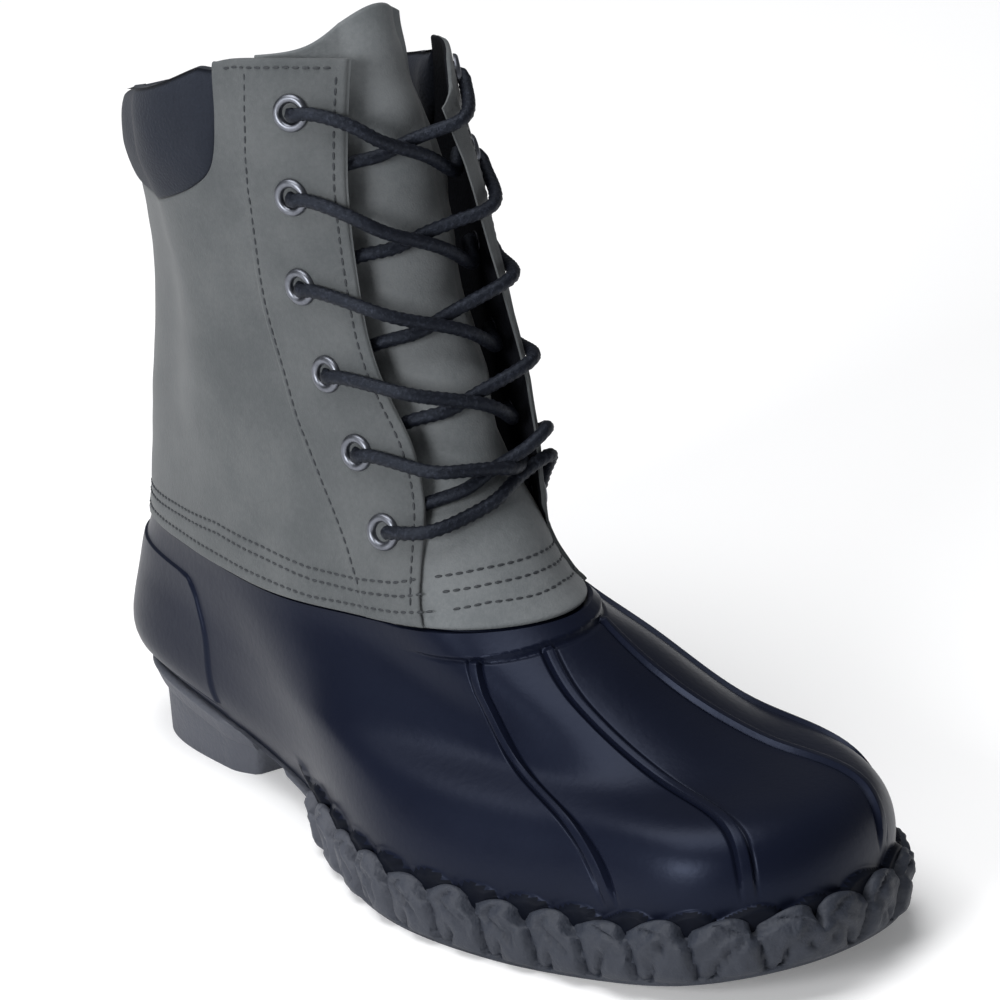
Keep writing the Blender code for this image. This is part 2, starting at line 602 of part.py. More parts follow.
def tread_cutter(finish):
    """Zigzag bars that cut the tread's grooves across heel and forefoot."""
    zig = TREAD_LEAN * np.array([(-9.4, 0), (-3.75, 1), (.6, 0), (5, 1), (10.6, 0)])
    points, faces = [], []
    fore = np.arange(FORE_START + TREAD_WIDTH, LENGTH - 3 * TREAD_WIDTH, TREAD_PITCH)
    for x in (*HEEL_TREAD, *fore):
        start = len(points)
        high = ground(np.array(x + .5 * TREAD_LEAN)) + TREAD_DEPTH
        for y, lean in zig:
            for dx in (-TREAD_WIDTH / 2, TREAD_WIDTH / 2):
                for z in (-.004, float(high)):
                    points.append((x + lean + dx, y, z))
        for n in range(len(zig) - 1):
            a = start + 4 * n
            b = a + 4
            faces += [(a + 1, b + 1, b, a), (a + 2, b + 2, b + 3, a + 3), (a + 3, b + 3, b + 1, a + 1),
                      (a, b, b + 2, a + 2)]
        faces += [(start + 2, start + 3, start + 1, start)]
        end = start + 4 * (len(zig) - 1)
        faces += [(end, end + 1, end + 3, end + 2)]
    return make_object("tread_cutter", points, faces, finish)


def build_insole(finish):
    """The foot bed on the sole plate, inside the rubber shell."""
    sides = feather_table()
    x = LENGTH * np.array([.96, .92, .873, .817, .75, .667, .583, .5, .453, .413, .373, .337, .3, .26, .22, .173,
                           .127, .08])
    psi = np.concatenate([[0.0], psi_at_x(sides[0], x), [.5], psi_at_x(sides[1], x)[::-1]])
    wall = last(psi, np.zeros_like(psi))
    inside = outward(psi, np.full_like(psi, .05))
    inside[:, 2] = 0
    inside /= np.linalg.norm(inside, axis=1, keepdims=True)
    base = wall - inside * (RUBBER_WALL + INSOLE_INSET)
    base[:, 2] = wall[:, 2] + 1.5 * CLEAR
    top = base + np.array([0, 0, INSOLE_THICKNESS])
    count = len(psi)
    points = np.concatenate([base, top])
    faces = [(i, i + count, (i + 1) % count + count, (i + 1) % count) for i in range(count)]
    half = count // 2
    for i in range(half):
        ring = [i, i + 1, (count - i - 1) % count, (count - i) % count]
        ring = [v for n, v in enumerate(ring) if v not in ring[:n]]
        faces.append(tuple(ring))
        faces.append(tuple(v + count for v in ring[::-1]))
    return make_object("insole", points, faces, finish)


def flap_off(psi, t):
    """Distance of the leather's outer face from the last."""
    return LEATHER_PROUD + flare(psi, t) + flap_step(psi, t)


def eyelet_frame(eyelet, s):
    """Centre on the leather's outer face, and the outward direction, of one eyelet."""
    psi = np.array([-.006, .006, 0, 0, 0]) + s * eyelet.psi
    t = np.array([0, 0, -.08, .08, 0]) + eyelet.t
    p = on_last(psi, t, flap_off(psi, t))
    axis = np.cross(p[3] - p[2], p[1] - p[0])
    return p[4], axis / np.linalg.norm(axis)


def turned(profile, centre, axis, sides):
    """Points and faces of a closed profile, pairs of radius and height, turned about an axis."""
    turn = Vector((0, 0, 1)).rotation_difference(Vector(axis)).to_matrix()
    angles = np.arange(sides) * 2 * np.pi / sides
    r, h = np.array(profile).T
    local = np.stack([np.outer(np.cos(angles), r), np.outer(np.sin(angles), r), np.tile(h, (sides, 1))], -1)
    points = local.reshape(-1, 3) @ np.array(turn).T + centre
    n = len(profile)
    faces = []
    for i in range(sides):
        j = (i + 1) % sides
        faces += [(i * n + k, j * n + k, j * n + (k + 1) % n, i * n + (k + 1) % n) for k in range(n)]
    return points, faces


def eyelet_lift(skin, centre, axis):
    """How far the leather rises over the eyelet's centre, at its highest under the flange."""
    axis = Vector(axis)
    side = axis.orthogonal().normalized()
    rises = [0.0]
    for angle in np.arange(16) * np.pi / 8:
        arm = side * float(np.cos(angle)) + axis.cross(side) * float(np.sin(angle))
        start = Vector(centre) + arm * EYELET_FLANGE + axis * EYELET_REACH
        hit = skin.ray_cast(start, -axis, 2 * EYELET_REACH)[0]
        rises.append((hit - Vector(centre)).dot(axis))
    return max(rises)


def build_eyelets(shaft, finish):
    """Twelve metal eyelets, and the holes that they sit in."""
    skin = BVHTree.FromPolygons([v.co for v in shaft.data.vertices], [p.vertices for p in shaft.data.polygons])
    low = -LEATHER_WALL - CLEAR
    profile = [(EYELET_BORE, low), (EYELET_BARREL, low), (EYELET_BARREL, CLEAR), (EYELET_FLANGE, CLEAR),
               (EYELET_BORE, EYELET_HEIGHT)]
    hole = [(EYELET_BARREL + CLEAR, -EYELET_REACH), (EYELET_BARREL + CLEAR, EYELET_REACH)]
    hole_points, hole_faces = [], []
    for side, s in (("lateral", 1), ("medial", -1)):
        for number, eyelet in enumerate(EYELETS, 1):
            centre, axis = eyelet_frame(eyelet, s)
            lift = eyelet_lift(skin, centre, axis)
            points, faces = turned(profile, centre + lift * axis, axis, EYELET_SIDES)
            make_object("eyelet_%s_%d" % (side, number), points, faces, finish)
            ring, _ = turned(hole, centre, axis, EYELET_SIDES)
            start = len(hole_points)
            hole_points += [tuple(p) for p in ring]
            for i in range(EYELET_SIDES):
                j = (i + 1) % EYELET_SIDES
                hole_faces.append((start + 2 * i, start + 2 * j, start + 2 * j + 1, start + 2 * i + 1))
            hole_faces.append(tuple(start + 2 * i for i in range(EYELET_SIDES - 1, -1, -1)))
            hole_faces.append(tuple(start + 2 * i + 1 for i in range(EYELET_SIDES)))
    add_boolean(shaft, make_object("eyelet_cutter", hole_points, hole_faces, finish), "DIFFERENCE")


def tube(path, radius, turn=0.0, sides=6):
    """Points and faces of a round cord along a path, with flat ends, its facets turned by a share of one."""
    path = np.asarray(path, float)
    ahead = np.gradient(path, axis=0)
    ahead /= np.linalg.norm(ahead, axis=1, keepdims=True)
    side = np.cross(ahead, np.array([0, 0, 1.0]))
    side /= np.linalg.norm(side, axis=1, keepdims=True)
    over = np.cross(side, ahead)
    angles = (np.arange(sides) + turn) * 2 * np.pi / sides
    ring = side[:, None] * np.cos(angles)[:, None] + over[:, None] * np.sin(angles)[:, None]
    points = (path[:, None] + radius * ring).reshape(-1, 3)
    faces = []
    for i in range(len(path) - 1):
        for k in range(sides):
            m = (k + 1) % sides
            faces.append((i * sides + k, (i + 1) * sides + k, (i + 1) * sides + m, i * sides + m))
    faces.append(tuple(range(sides)))
    faces.append(tuple((len(path) - 1) * sides + k for k in range(sides - 1, -1, -1)))
    return points, faces


def smooth_path(points, middle, before, after):
    """A smooth curve through a few points, read in even steps before and after the one numbered middle."""
    along = np.concatenate([[0], np.cumsum(np.linalg.norm(np.diff(points, axis=0), axis=1))])
    at = [np.linspace(0, along[middle], before + 1), np.linspace(along[middle], along[-1], after + 1)[1:]]
    return spline_weights(along, np.concatenate(at)) @ points


def strand(lower, upper, s, over, nearer):
    """A lace strand from inside the lower eyelet on one side to outside the upper eyelet on the other."""
    middle_t = .5 * (lower.t + upper.t)
    flap_low = flap_psi(lower.t + .3 * (upper.t - lower.t))
    t_low = lower.t + .28 * (upper.t - lower.t)
    t_high = lower.t + .76 * (upper.t - lower.t)
    flap_high = flap_psi(t_high)
    seat = LACE_RADIUS + CLEAR
    lift = .9 * LACE_RADIUS if over else 0.0
    crown = tongue_off(0.0, middle_t) + seat + lift - nearer
    under_psi = -s * (flap_low + .006)
    under = .5 * (tongue_off(under_psi, t_low) + flare(under_psi, t_low) + LEATHER_PROUD - LEATHER_WALL)
    across_psi = -s * .45 * flap_low
    across = tongue_off(across_psi, .5 * (t_low + middle_t)) + seat + .5 * lift + 4 * CLEAR - nearer
    rise_psi = s * .55 * flap_high
    edge_psi = s * flap_high
    end_psi = s * (upper.psi - LACE_END)
    rows = [
        (under_psi, t_low, under),
        (across_psi, .5 * (t_low + middle_t), across),
        (0.0, middle_t, crown),
        (rise_psi, .5 * (middle_t + t_high), .5 * (crown + flap_off(edge_psi, t_high) + seat) + 4 * CLEAR),
        (edge_psi - s * .004, t_high, flap_off(edge_psi, t_high) + seat + 3 * CLEAR),
        (end_psi, upper.t - .02, flap_off(end_psi, upper.t) + seat + CLEAR),
    ]
    psi, t, off = np.array([[float(v) for v in row] for row in rows]).T
    return smooth_path(on_last(psi, t, off), 2, 3, 5)


def build_laces(finish):
    """The lace's five crossings, each of two strands joined where they cross, and its lowest bar."""
    for number in range(1, len(EYELETS)):
        upper, lower = EYELETS[number - 1], EYELETS[number]
        name = "lace_crossing_%d" % number
        nearer = LACE_NEARER[number - 1]
        cord = make_object(name, *tube(strand(lower, upper, 1, True, nearer), LACE_RADIUS), finish)
        path = strand(lower, upper, -1, False, nearer)
        under = make_object(name + "_under", *tube(path, LACE_RADIUS, .5), finish)
        add_boolean(cord, under, "UNION")
    last_pair = EYELETS[-1]
    seat = LACE_RADIUS + CLEAR
    shares = np.array([-1, -.72, -.35, 0, .35, .72, 1])
    psi = shares * (last_pair.psi - LACE_END)
    t = np.full(len(psi), last_pair.t)
    flap = flap_off(np.where(np.abs(psi) < flap_psi(t), np.sign(psi + 1e-9) * flap_psi(t), psi), t)
    off = np.where(np.abs(psi) < .7 * flap_psi(t), tongue_off(psi, t) + seat + CLEAR, flap + seat + 2 * CLEAR)
    off[[1, -2]] += CLEAR
    path = smooth_path(on_last(psi, t, off), 3, 5, 5)
    make_object("lace_bar", *tube(path, LACE_RADIUS), finish)


def stand_on_origin():
    """Moves every mesh so that the middle of the boot's box on the floor is the origin."""
    depsgraph = bpy.context.evaluated_depsgraph_get()
    corners = []
    for thing in bpy.data.objects:
        if not thing.hide_render:
            mesh = thing.evaluated_get(depsgraph).to_mesh()
            flat = np.empty(len(mesh.vertices) * 3, np.float32)
            mesh.vertices.foreach_get("co", flat)
            corners.append(flat.reshape(-1, 3))
    points = np.concatenate(corners)
    middle = .5 * (points.min(0) + points.max(0))
    for thing in bpy.data.objects:
        for vertex in thing.data.vertices:
            vertex.co.x -= middle[0]
            vertex.co.y -= middle[1]
    print("moved by", -middle[0], -middle[1])


for old in list(bpy.data.objects):
    bpy.data.objects.remove(old)

outsole_rubber = material("outsole_rubber", (.055, .058, .068), .62)
glossy_rubber = material("glossy_rubber", (.012, .014, .020), .28)
grey_leather = material("grey_leather", (.115, .125, .130), .72)
tongue_leather = material("tongue_leather", (.110, .120, .126), .72)
foot_bed = material("foot_bed", (.06, .06, .065), .85)
pad_fabric = material("pad_fabric", (.010, .013, .022), .80)
eyelet_metal = material("eyelet_metal", (.20, .21, .23), .30, 1.0)
lace_cord = material("lace_cord", (.012, .013, .018), .75)

build_outsole(outsole_rubber)
build_shell(glossy_rubber)
leather_shaft = build_shaft(grey_leather)
build_tongue(tongue_leather)
build_insole(foot_bed)
build_pad(pad_fabric)
build_eyelets(leather_shaft, eyelet_metal)
build_laces(lace_cord)
stand_on_origin()
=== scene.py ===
"""A right duck boot: glossy moulded rubber below, a laced nubuck shaft above, on a pale studio floor."""
from collections import namedtuple
from itertools import accumulate

import bpy
import numpy as np
from mathutils import Matrix, Vector


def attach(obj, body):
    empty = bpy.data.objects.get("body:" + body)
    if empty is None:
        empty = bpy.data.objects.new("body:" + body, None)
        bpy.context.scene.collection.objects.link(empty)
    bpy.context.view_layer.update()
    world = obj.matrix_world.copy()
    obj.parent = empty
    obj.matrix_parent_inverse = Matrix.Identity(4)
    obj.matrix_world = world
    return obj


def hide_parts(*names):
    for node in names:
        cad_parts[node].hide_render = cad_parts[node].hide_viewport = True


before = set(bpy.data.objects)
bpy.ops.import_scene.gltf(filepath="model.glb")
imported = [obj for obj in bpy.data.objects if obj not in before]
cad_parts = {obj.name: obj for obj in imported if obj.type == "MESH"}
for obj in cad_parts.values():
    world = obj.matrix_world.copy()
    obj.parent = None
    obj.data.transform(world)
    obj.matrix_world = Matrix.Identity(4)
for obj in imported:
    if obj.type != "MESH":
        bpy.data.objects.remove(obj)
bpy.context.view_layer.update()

# Camera
# The photograph's view, from in front of the outer side and well above the boot, through a long lens that
# is rolled a little, so that the boot leans as it does there.
azimuth, elevation, roll = np.radians((57.81, 21.99, -2.9))
level = np.array([np.cos(azimuth), np.sin(azimuth), 0])
away = np.array([np.sin(azimuth), -np.cos(azimuth), 0]) * np.cos(elevation) + [0, 0, np.sin(elevation)]
right = level * np.cos(roll) + np.cross(away, level) * np.sin(roll)
camera = bpy.data.objects.new("camera", bpy.data.cameras.new("camera"))
camera.data.lens = 233.17
camera.data.sensor_width = 36
camera.data.clip_end = 20
turned = Matrix(np.stack([right, np.cross(away, right), away], 1).tolist()).to_4x4()
camera.matrix_world = Matrix.Translation((1.4950, -.9343, .8166)) @ turned
bpy.context.collection.objects.link(camera)
bpy.context.scene.camera = camera


# Sole
# One moulding of matt dark grey rubber: a plate with a heel block, a shallow arch and a forefoot with lugs.
# Round the forefoot its side stands up as foxing, in overlapping rounded lobes with a cut beside each.

# The sole is moulded to the last, the wooden foot that the whole boot is made round. A place on the last is
# phi, the share of the way round from the front centre by the outer side, and t, the height in sections: 0
# is the feather line, 5 the seam of rubber and leather, and 9 the collar.
LENGTH, BALL, HEEL, SHAFT = .300, .055, .041, .044
SEAM_HEIGHT, SHAFT_RISE, TOE_SWING, SOLE_DIP = .076, .150, .016, .012
TO_FRAME = np.array([-.15166712, -.00812725, 0])     # from the heel on the last's own axis to the row's frame
Section = namedtuple("Section", "half back front z_back z_front back_round front_round heel waist_lat "
                                "waist_med ball_lat ball_med toe_lat toe_med swing dip")
SECTIONS = [Section(*row) for row in (
    (BALL, .017, 1.003, .329, .237, .14, .17, .915, .64, .55, .96, .90, .73, .99, 1, 1),
    (BALL, -.008, 1.008, .434, .461, .15, .18, 1.02, .71, .65, 1.02, .97, .79, 1.08, 1, .95),
    (BALL, -.013, .980, .579, .658, .16, .19, 1.00, .75, .69, .97, .945, .745, 1.045, 1, .70),
    (BALL, -.013, .880, .697, .737, .18, .22, .95, .75, .73, .85, .83, .64, .88, .88, .45),
    (BALL, -.008, .747, .796, .934, .20, .24, .90, .74, .73, .765, .735, .60, .73, .47, .30),
    (BALL, -.002, .648, .882, 1.060, .23, .26, .86, .72, .71, .73, .70, .635, .60, .19, .22),
    (SHAFT, .015, .550, 1.200, 1.380, .25, .28, .727, .85, .84, .83, .82, .73, .705, .06, 0),
    (SHAFT, .030, .493, 1.460, 1.600, .28, .30, .705, .865, .865, .865, .865, .775, .775, 0, 0),
    (SHAFT, .027, .452, 1.740, 1.853, .28, .30, .784, .955, .955, .955, .955, .84, .84, 0, 0),
    (SHAFT, .022, .420, 1.907, 2.087, .28, .30, .784, 1.01, 1.0, 1.02, 1.0, .84, .865, 0, 0),
    (SHAFT, .017, .397, 2.067, 2.307, .28, .30, .784, 1.02, 1.02, 1.02, 1.02, .84, .865, 0, 0),
)]
DIP = np.array([(-.03, 0), (.10, 0), (.20, .08), (.27, .33), (.35, .79), (.43, .97), (.55, 1.0), (.68, .97),
                (.82, .78), (.93, .29), (1.03, -.08)])


def height(share):
    """Height of a share: up to 1 it is of the seam's height, and what is over 1 is of the shaft's."""
    return np.minimum(share, 1) * SEAM_HEIGHT + np.maximum(share - 1, 0) * SHAFT_RISE


def spline_weights(knots, at, round_length=None):
    """Weights of the knots' values in the cubic through them: its bends solve the tridiagonal rule."""
    k, at = np.asarray(knots, float), np.asarray(at, float)
    n = len(k)
    system, side = np.zeros((n, n)), np.zeros((n, n))
    if round_length is None:
        step = np.diff(k)
        system[0, 0] = system[-1, -1] = 1.0
        inner = range(1, n - 1)
    else:
        step = np.append(np.diff(k), round_length - k[-1] + k[0])
        at = np.mod(at - k[0], round_length) + k[0]
        inner = range(n)
    for i in inner:
        before, after = step[i - 1], step[i]
        system[i, i - 1] += before
        system[i, i] += 2 * (before + after)
        system[i, (i + 1) % n] += after
        side[i, i - 1] += 6 / before
        side[i, i] -= 6 / before + 6 / after
        side[i, (i + 1) % n] += 6 / after
    bend = np.linalg.solve(system, side)
    i = np.clip(np.searchsorted(k, at, side="right") - 1, 0, len(step) - 1)
    j = (i + 1) % n
    f = (at - k[i]) / step[i]
    g = 1 - f
    weights = np.zeros((len(at), n))
    rows = np.arange(len(at))
    weights[rows, i] += g
    weights[rows, j] += f
    scale = step[i] ** 2 / 6
    return weights + ((g ** 3 - g) * scale)[:, None] * bend[i] + ((f ** 3 - f) * scale)[:, None] * bend[j]


def smooth_line(knots, values, at):
    """The cubic through a short table, with its value at each end kept beyond that end."""
    at = np.clip(np.asarray(at, float), knots[0], knots[-1])
    return (spline_weights(knots, at.ravel()) @ np.asarray(values, float)).reshape(at.shape)


def section_loop(s):
    """Fourteen points round one section: half widths at shares of its length, and the toe swung inward."""
    heel = (HEEL if s.half == BALL else s.half) * s.heel
    span = 1 - s.back_round - s.front_round
    loop = [(1.0, 0.0)]
    for toe, ball, waist in ((s.toe_lat, s.ball_lat, s.waist_lat), (s.toe_med, s.ball_med, s.waist_med)):
        side = [(1 - .2 * s.front_round, .6 * toe * s.half), (1 - s.front_round, toe * s.half),
                (s.back_round + .70 * span, ball * s.half), (s.back_round + .34 * span, waist * s.half),
                (s.back_round, heel), (.2 * s.back_round, .6 * heel)]
        loop += [(u, -y) for u, y in side] + [(0.0, 0.0)] if len(loop) == 1 else side[::-1]
    u, y = np.array(loop).T
    x = LENGTH * (s.back + (s.front - s.back) * u)
    y = y + TOE_SWING * s.swing * np.clip((u - .35) / .65, 0, 1) ** 1.5
    z_back, z_front = height(np.array([s.z_back, s.z_front]))
    dip = s.dip * SOLE_DIP * smooth_line(DIP[:, 0] * LENGTH, DIP[:, 1], x)
    return np.stack([x, y, z_back + (z_front - z_back) * u - dip], -1)


NET = np.array([section_loop(s) for s in SECTIONS])
SPACING = np.linalg.norm(np.roll(NET, -1, 1) - NET, axis=-1)
AROUND = np.concatenate([[0], np.cumsum((SPACING / SPACING.sum(1, keepdims=True)).mean(0))[:-1]])
UP = np.concatenate([[0], np.cumsum(np.linalg.norm(np.diff(NET, axis=0), axis=-1).mean(1))])


def last(phi, t):
    """Points of the last: the cubic up through the sections, of the closed cubics round each of them."""
    phi, t = np.broadcast_arrays(np.asarray(phi, float), np.asarray(t, float))
    up = spline_weights(UP, np.interp(t.ravel(), np.arange(len(SECTIONS)), UP))
    around = spline_weights(AROUND, phi.ravel(), 1.0)
    points = np.einsum("nac,na->nc", np.einsum("abc,nb->nac", NET, around), up)
    return points.reshape(phi.shape + (3,)) + TO_FRAME


def outward(phi, t):
    """Unit normals of the last: the cross product of its slopes up and round."""
    small = 1e-3
    n = np.cross(last(phi, t + small) - last(phi, t - small), last(phi + small, t) - last(phi - small, t))
    return n / np.linalg.norm(n, axis=-1, keepdims=True)


def on_last(phi, t, off):
    """Points off the last: its own point plus its unit normal times the distance off."""
    phi, t, off = np.broadcast_arrays(*(np.asarray(v, float) for v in (phi, t, off)))
    return last(phi, t) + outward(phi, t) * off[..., None]


def ramp(x, low, high):
    """A smooth step from 0 at low to 1 at high: 3 f squared less 2 f cubed."""
    f = np.clip((np.asarray(x, float) - low) / (high - low), 0, 1)
    return f * f * (3 - 2 * f)


def waves(points, size, seed, octaves=3):
    """Soft unevenness, about -1 to 1: a sum of sines in random directions, each octave half as high."""
    draw = np.random.default_rng(seed)
    total, weight = np.zeros(points.shape[:-1]), 0.0
    for octave in range(octaves):
        for _ in range(5):
            direction = draw.normal(size=3)
            direction *= 2 * np.pi / (size * .5 ** octave * np.linalg.norm(direction))
            total += .5 ** octave * np.sin(points @ direction + draw.uniform(0, 2 * np.pi))
        weight += .5 ** octave * 2.2
    return total / weight


class Wire:
    """One output socket of a material. Sums and products of wires and numbers add Math nodes."""

    def __init__(self, tree, socket=None):
        self.tree, self.socket = tree, socket

    def node(self, kind, settings=None, values=None, out=0):
        """Adds a node: its settings first, then values or wires for its sockets, by name or number."""
        made = self.tree.nodes.new(kind)
        for key, value in (settings or {}).items():
            setattr(made, key, value)
        for key, value in (values or {}).items():
            if isinstance(value, Wire):
                self.tree.links.new(value.socket, made.inputs[key])
            else:
                made.inputs[key].default_value = value
        return Wire(self.tree, made.outputs[out])

    def maths(self, operation, *values):
        """A Math node's result."""
        return self.node("ShaderNodeMath", {"operation": operation}, dict(enumerate(values)))

    def __add__(self, other):
        return self.maths("ADD", self, other)

    def __mul__(self, other):
        return self.maths("MULTIPLY", self, other)

    __radd__ = __add__
    __rmul__ = __mul__

    def step(self, low, high):
        """0 below low and 1 over high, smooth between."""
        return self.node("ShaderNodeMapRange", {"interpolation_type": "SMOOTHSTEP"},
                         {0: self, 1: low, 2: high, 3: 0.0, 4: 1.0})

    def noise(self, size, detail=2.0, rough=.5):
        """Noise of about this size in metres, at this place."""
        return self.node("ShaderNodeTexNoise", None, {"Vector": self, "Scale": 1 / size, "Detail": detail,
                                                      "Roughness": rough})

    def mix(self, dark, light):
        """A colour from dark, where this is 0, to light, where it is 1."""
        shades = [shade if isinstance(shade, Wire) else (*shade, 1) for shade in (dark, light)]
        return self.node("ShaderNodeMix", {"data_type": "RGBA"}, {0: self, 6: shades[0], 7: shades[1]}, 2)

    def bump(self, depth):
        """A normal from this height, 0 to 1, over this depth in metres."""
        return self.node("ShaderNodeBump", None, {"Height": self, "Distance": depth}, "Normal")


def new_finish(name, roughness, metallic=0.0, sheen=0.0, specular=.5, tint=(1, 1, 1)):
    """A material with its constant sockets set, a wire at the object's own place, and a linker."""
    made = bpy.data.materials.new(name)
    made.use_nodes = True
    tree = made.node_tree
    shader = tree.nodes["Principled BSDF"]
    for key, value in (("Roughness", roughness), ("Metallic", metallic), ("Sheen Weight", sheen),
                       ("Sheen Roughness", .5), ("Specular IOR Level", specular),
                       ("Specular Tint", (*tint, 1))):
        shader.inputs[key].default_value = value
    place = Wire(tree).node("ShaderNodeTexCoord", out="Object")

    def feed(**wires):
        for key, wire in wires.items():
            tree.links.new(wire.socket, shader.inputs[key.replace("_", " ")])
    return made, place, feed


def piece(name, points, faces, finishes, slot, kinds=None):
    """A smooth mesh of four-sided faces, riding on the boot. Kinds picks each face's finish."""
    mesh = bpy.data.meshes.new(name)
    points, faces = points.reshape(-1, 3), np.asarray(faces)
    mesh.vertices.add(len(points))
    mesh.vertices.foreach_set("co", points.astype(np.float32).ravel())
    mesh.loops.add(faces.size)
    mesh.loops.foreach_set("vertex_index", faces.astype(np.int32).ravel())
    mesh.polygons.add(len(faces))
    mesh.polygons.foreach_set("loop_start", np.arange(len(faces), dtype=np.int32) * 4)
    for finish in finishes:
        mesh.materials.append(finish)
    if kinds is not None:
        mesh.polygons.foreach_set("material_index", kinds.astype(np.int32))
    mesh.update(calc_edges=True)
    mesh.validate()
    mesh.shade_smooth()
    mesh.set_sharp_from_angle(angle=np.radians(50))
    thing = bpy.data.objects.new(name, mesh)
    bpy.context.collection.objects.link(thing)
    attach(thing, "root")
    return thing


def skin_faces(rows, columns, ring):
    """Faces of one grid, rows up and columns round, facing out."""
    i, j = np.meshgrid(np.arange(rows - 1), np.arange(columns if ring else columns - 1), indexing="ij")
    low, high, k = i * columns, (i + 1) * columns, (j + 1) % columns
    return np.stack([low + j, high + j, high + k, low + k], -1).reshape(-1, 4)


HEEL_BREAST, HEEL_SEAT = .0755, .0025     # x of the heel block's front, and how far its corner is eased
FORE_START, FORE_END = .150, .225         # x between which the forefoot lies flat
ARCH_RISE, TOE_SPRING = .0165, .0108
ARCH_INSET = .0060
RIM_START, RIM_FULL = .118, .138          # x over which the foxing comes up
LOBES, LOBE_RISE = 11, .0036              # lobes on each side, and how much lower the foxing is between them
TREAD_PITCH, FIRST_GROOVE = .0205, .15285
GROOVE_DEPTH, GROOVE_HALF = .0032, (.0016, .0026)     # half widths at a groove's floor and at its top
HEEL_GROOVES = np.array([.018, .038, .057])
ZIGZAG, ZIGZAG_WIDTH = .008, .035
HALF_COUNT = 360          # columns of the grid on each side of the foot
BETWEEN, ACROSS = 5, 26   # rows made between two of the side's rows, and from the tread's edge to the middle


def ground(x):
    """Height of the sole's underside at x from the heel: block, arch, flat forefoot and toe spring."""
    arch = ARCH_RISE * (np.clip(FORE_START - x, 0, None) / (FORE_START - HEEL_BREAST)) ** 1.6
    toe = TOE_SPRING * (np.clip(x - FORE_END, 0, None) / (LENGTH - FORE_END)) ** 2
    return arch * ramp(x, HEEL_BREAST, HEEL_BREAST + HEEL_SEAT) + toe


def feather_side(s):
    """One side's feather line from the front to the heel: phi, the length along it, and the foxing's length.

    The length is the sum of the steps between points of the last at t = 0.
    """
    psi = s * np.linspace(0, .5, 1500)
    p = last(psi, 0)
    length = np.concatenate([[0], np.cumsum(np.linalg.norm(np.diff(p, axis=0), axis=1))])
    front = np.argmax(p[:, 0])
    return psi, length, np.interp(-(RIM_FULL + TO_FRAME[0]), -p[front:, 0], length[front:])


def lobe_place(share):
    """The lobe's number, and the place in it from its front to its back, at shares of the foxing's length."""
    lobe = np.floor(share * LOBES)
    return lobe.astype(int), share * LOBES - lobe


def lobe_top(place):
    """How far a lobe stands up: a half round that is steep at its front and falls away to its back."""
    return np.sin(np.pi * np.clip(place, 0, 1) ** .62)


def level_outward(loop):
    """Level unit vectors out from a closed loop: its direction turned a quarter, on the far side."""
    ahead = np.roll(loop, -1, 0) - np.roll(loop, 1, 0)
    aside = np.stack([ahead[:, 1], -ahead[:, 0], np.zeros(len(loop))], -1)
    aside /= np.linalg.norm(aside, axis=1, keepdims=True)
    return aside * np.sign(((loop - loop.mean(0)) * aside).sum(1)).mean()


def middle_line(loop):
    """The line down the middle of a loop from the front centre: the mean of each point and the one across."""
    return .5 * (loop + loop[-np.arange(len(loop)) % len(loop)])


# The side from the seat to the floor. At the forefoot up is over the feather line and out from it, or from
# the rubber where the base is "shell", or up is over the underside where it is "floor"; lobe is how far the
# point follows the lobes. At the heel and arch, heel_out is outward, drop below the feather line or this
# share of the thickness, and inset how far it goes in at the arch.
Side = namedtuple("Side", "name out up base lobe heel_out drop share inset")
SOLE_SIDE = [Side(*row) for row in (
    ("seat inner", -.0032, -.0003, "line", 0, -.0032, .0003, .02, 0),
    ("seat outer", .0003, -.0003, "line", 0, .0003, .0003, .02, 0),
    ("rim inner", .0004, .0030, "shell", 0, .0007, .0004, .03, 0),
    ("rim back", .0006, .0088, "shell", .9, .0012, .0007, .05, 0),
    ("rim edge", .0026, .0116, "shell", 1.1, .0018, .0018, .16, 1),
    ("rim round", .0052, .0094, "shell", .9, .0015, .0028, .30, 1),
    ("belly", .0080, .0042, "line", .3, .0006, .0050, .50, 1),
    ("foot", .0071, .0048, "floor", 0, -.0012, .0085, .85, 1),
    ("lug", .0054, .0020, "floor", 0, -.0022, .0096, .93, 1),
    ("tread", .0040, .0000, "floor", 0, -.0028, 1.0, 1.0, 1),
)]
LEVELS = np.linspace(0, len(SOLE_SIDE) - 1, (len(SOLE_SIDE) - 1) * BETWEEN + 1)


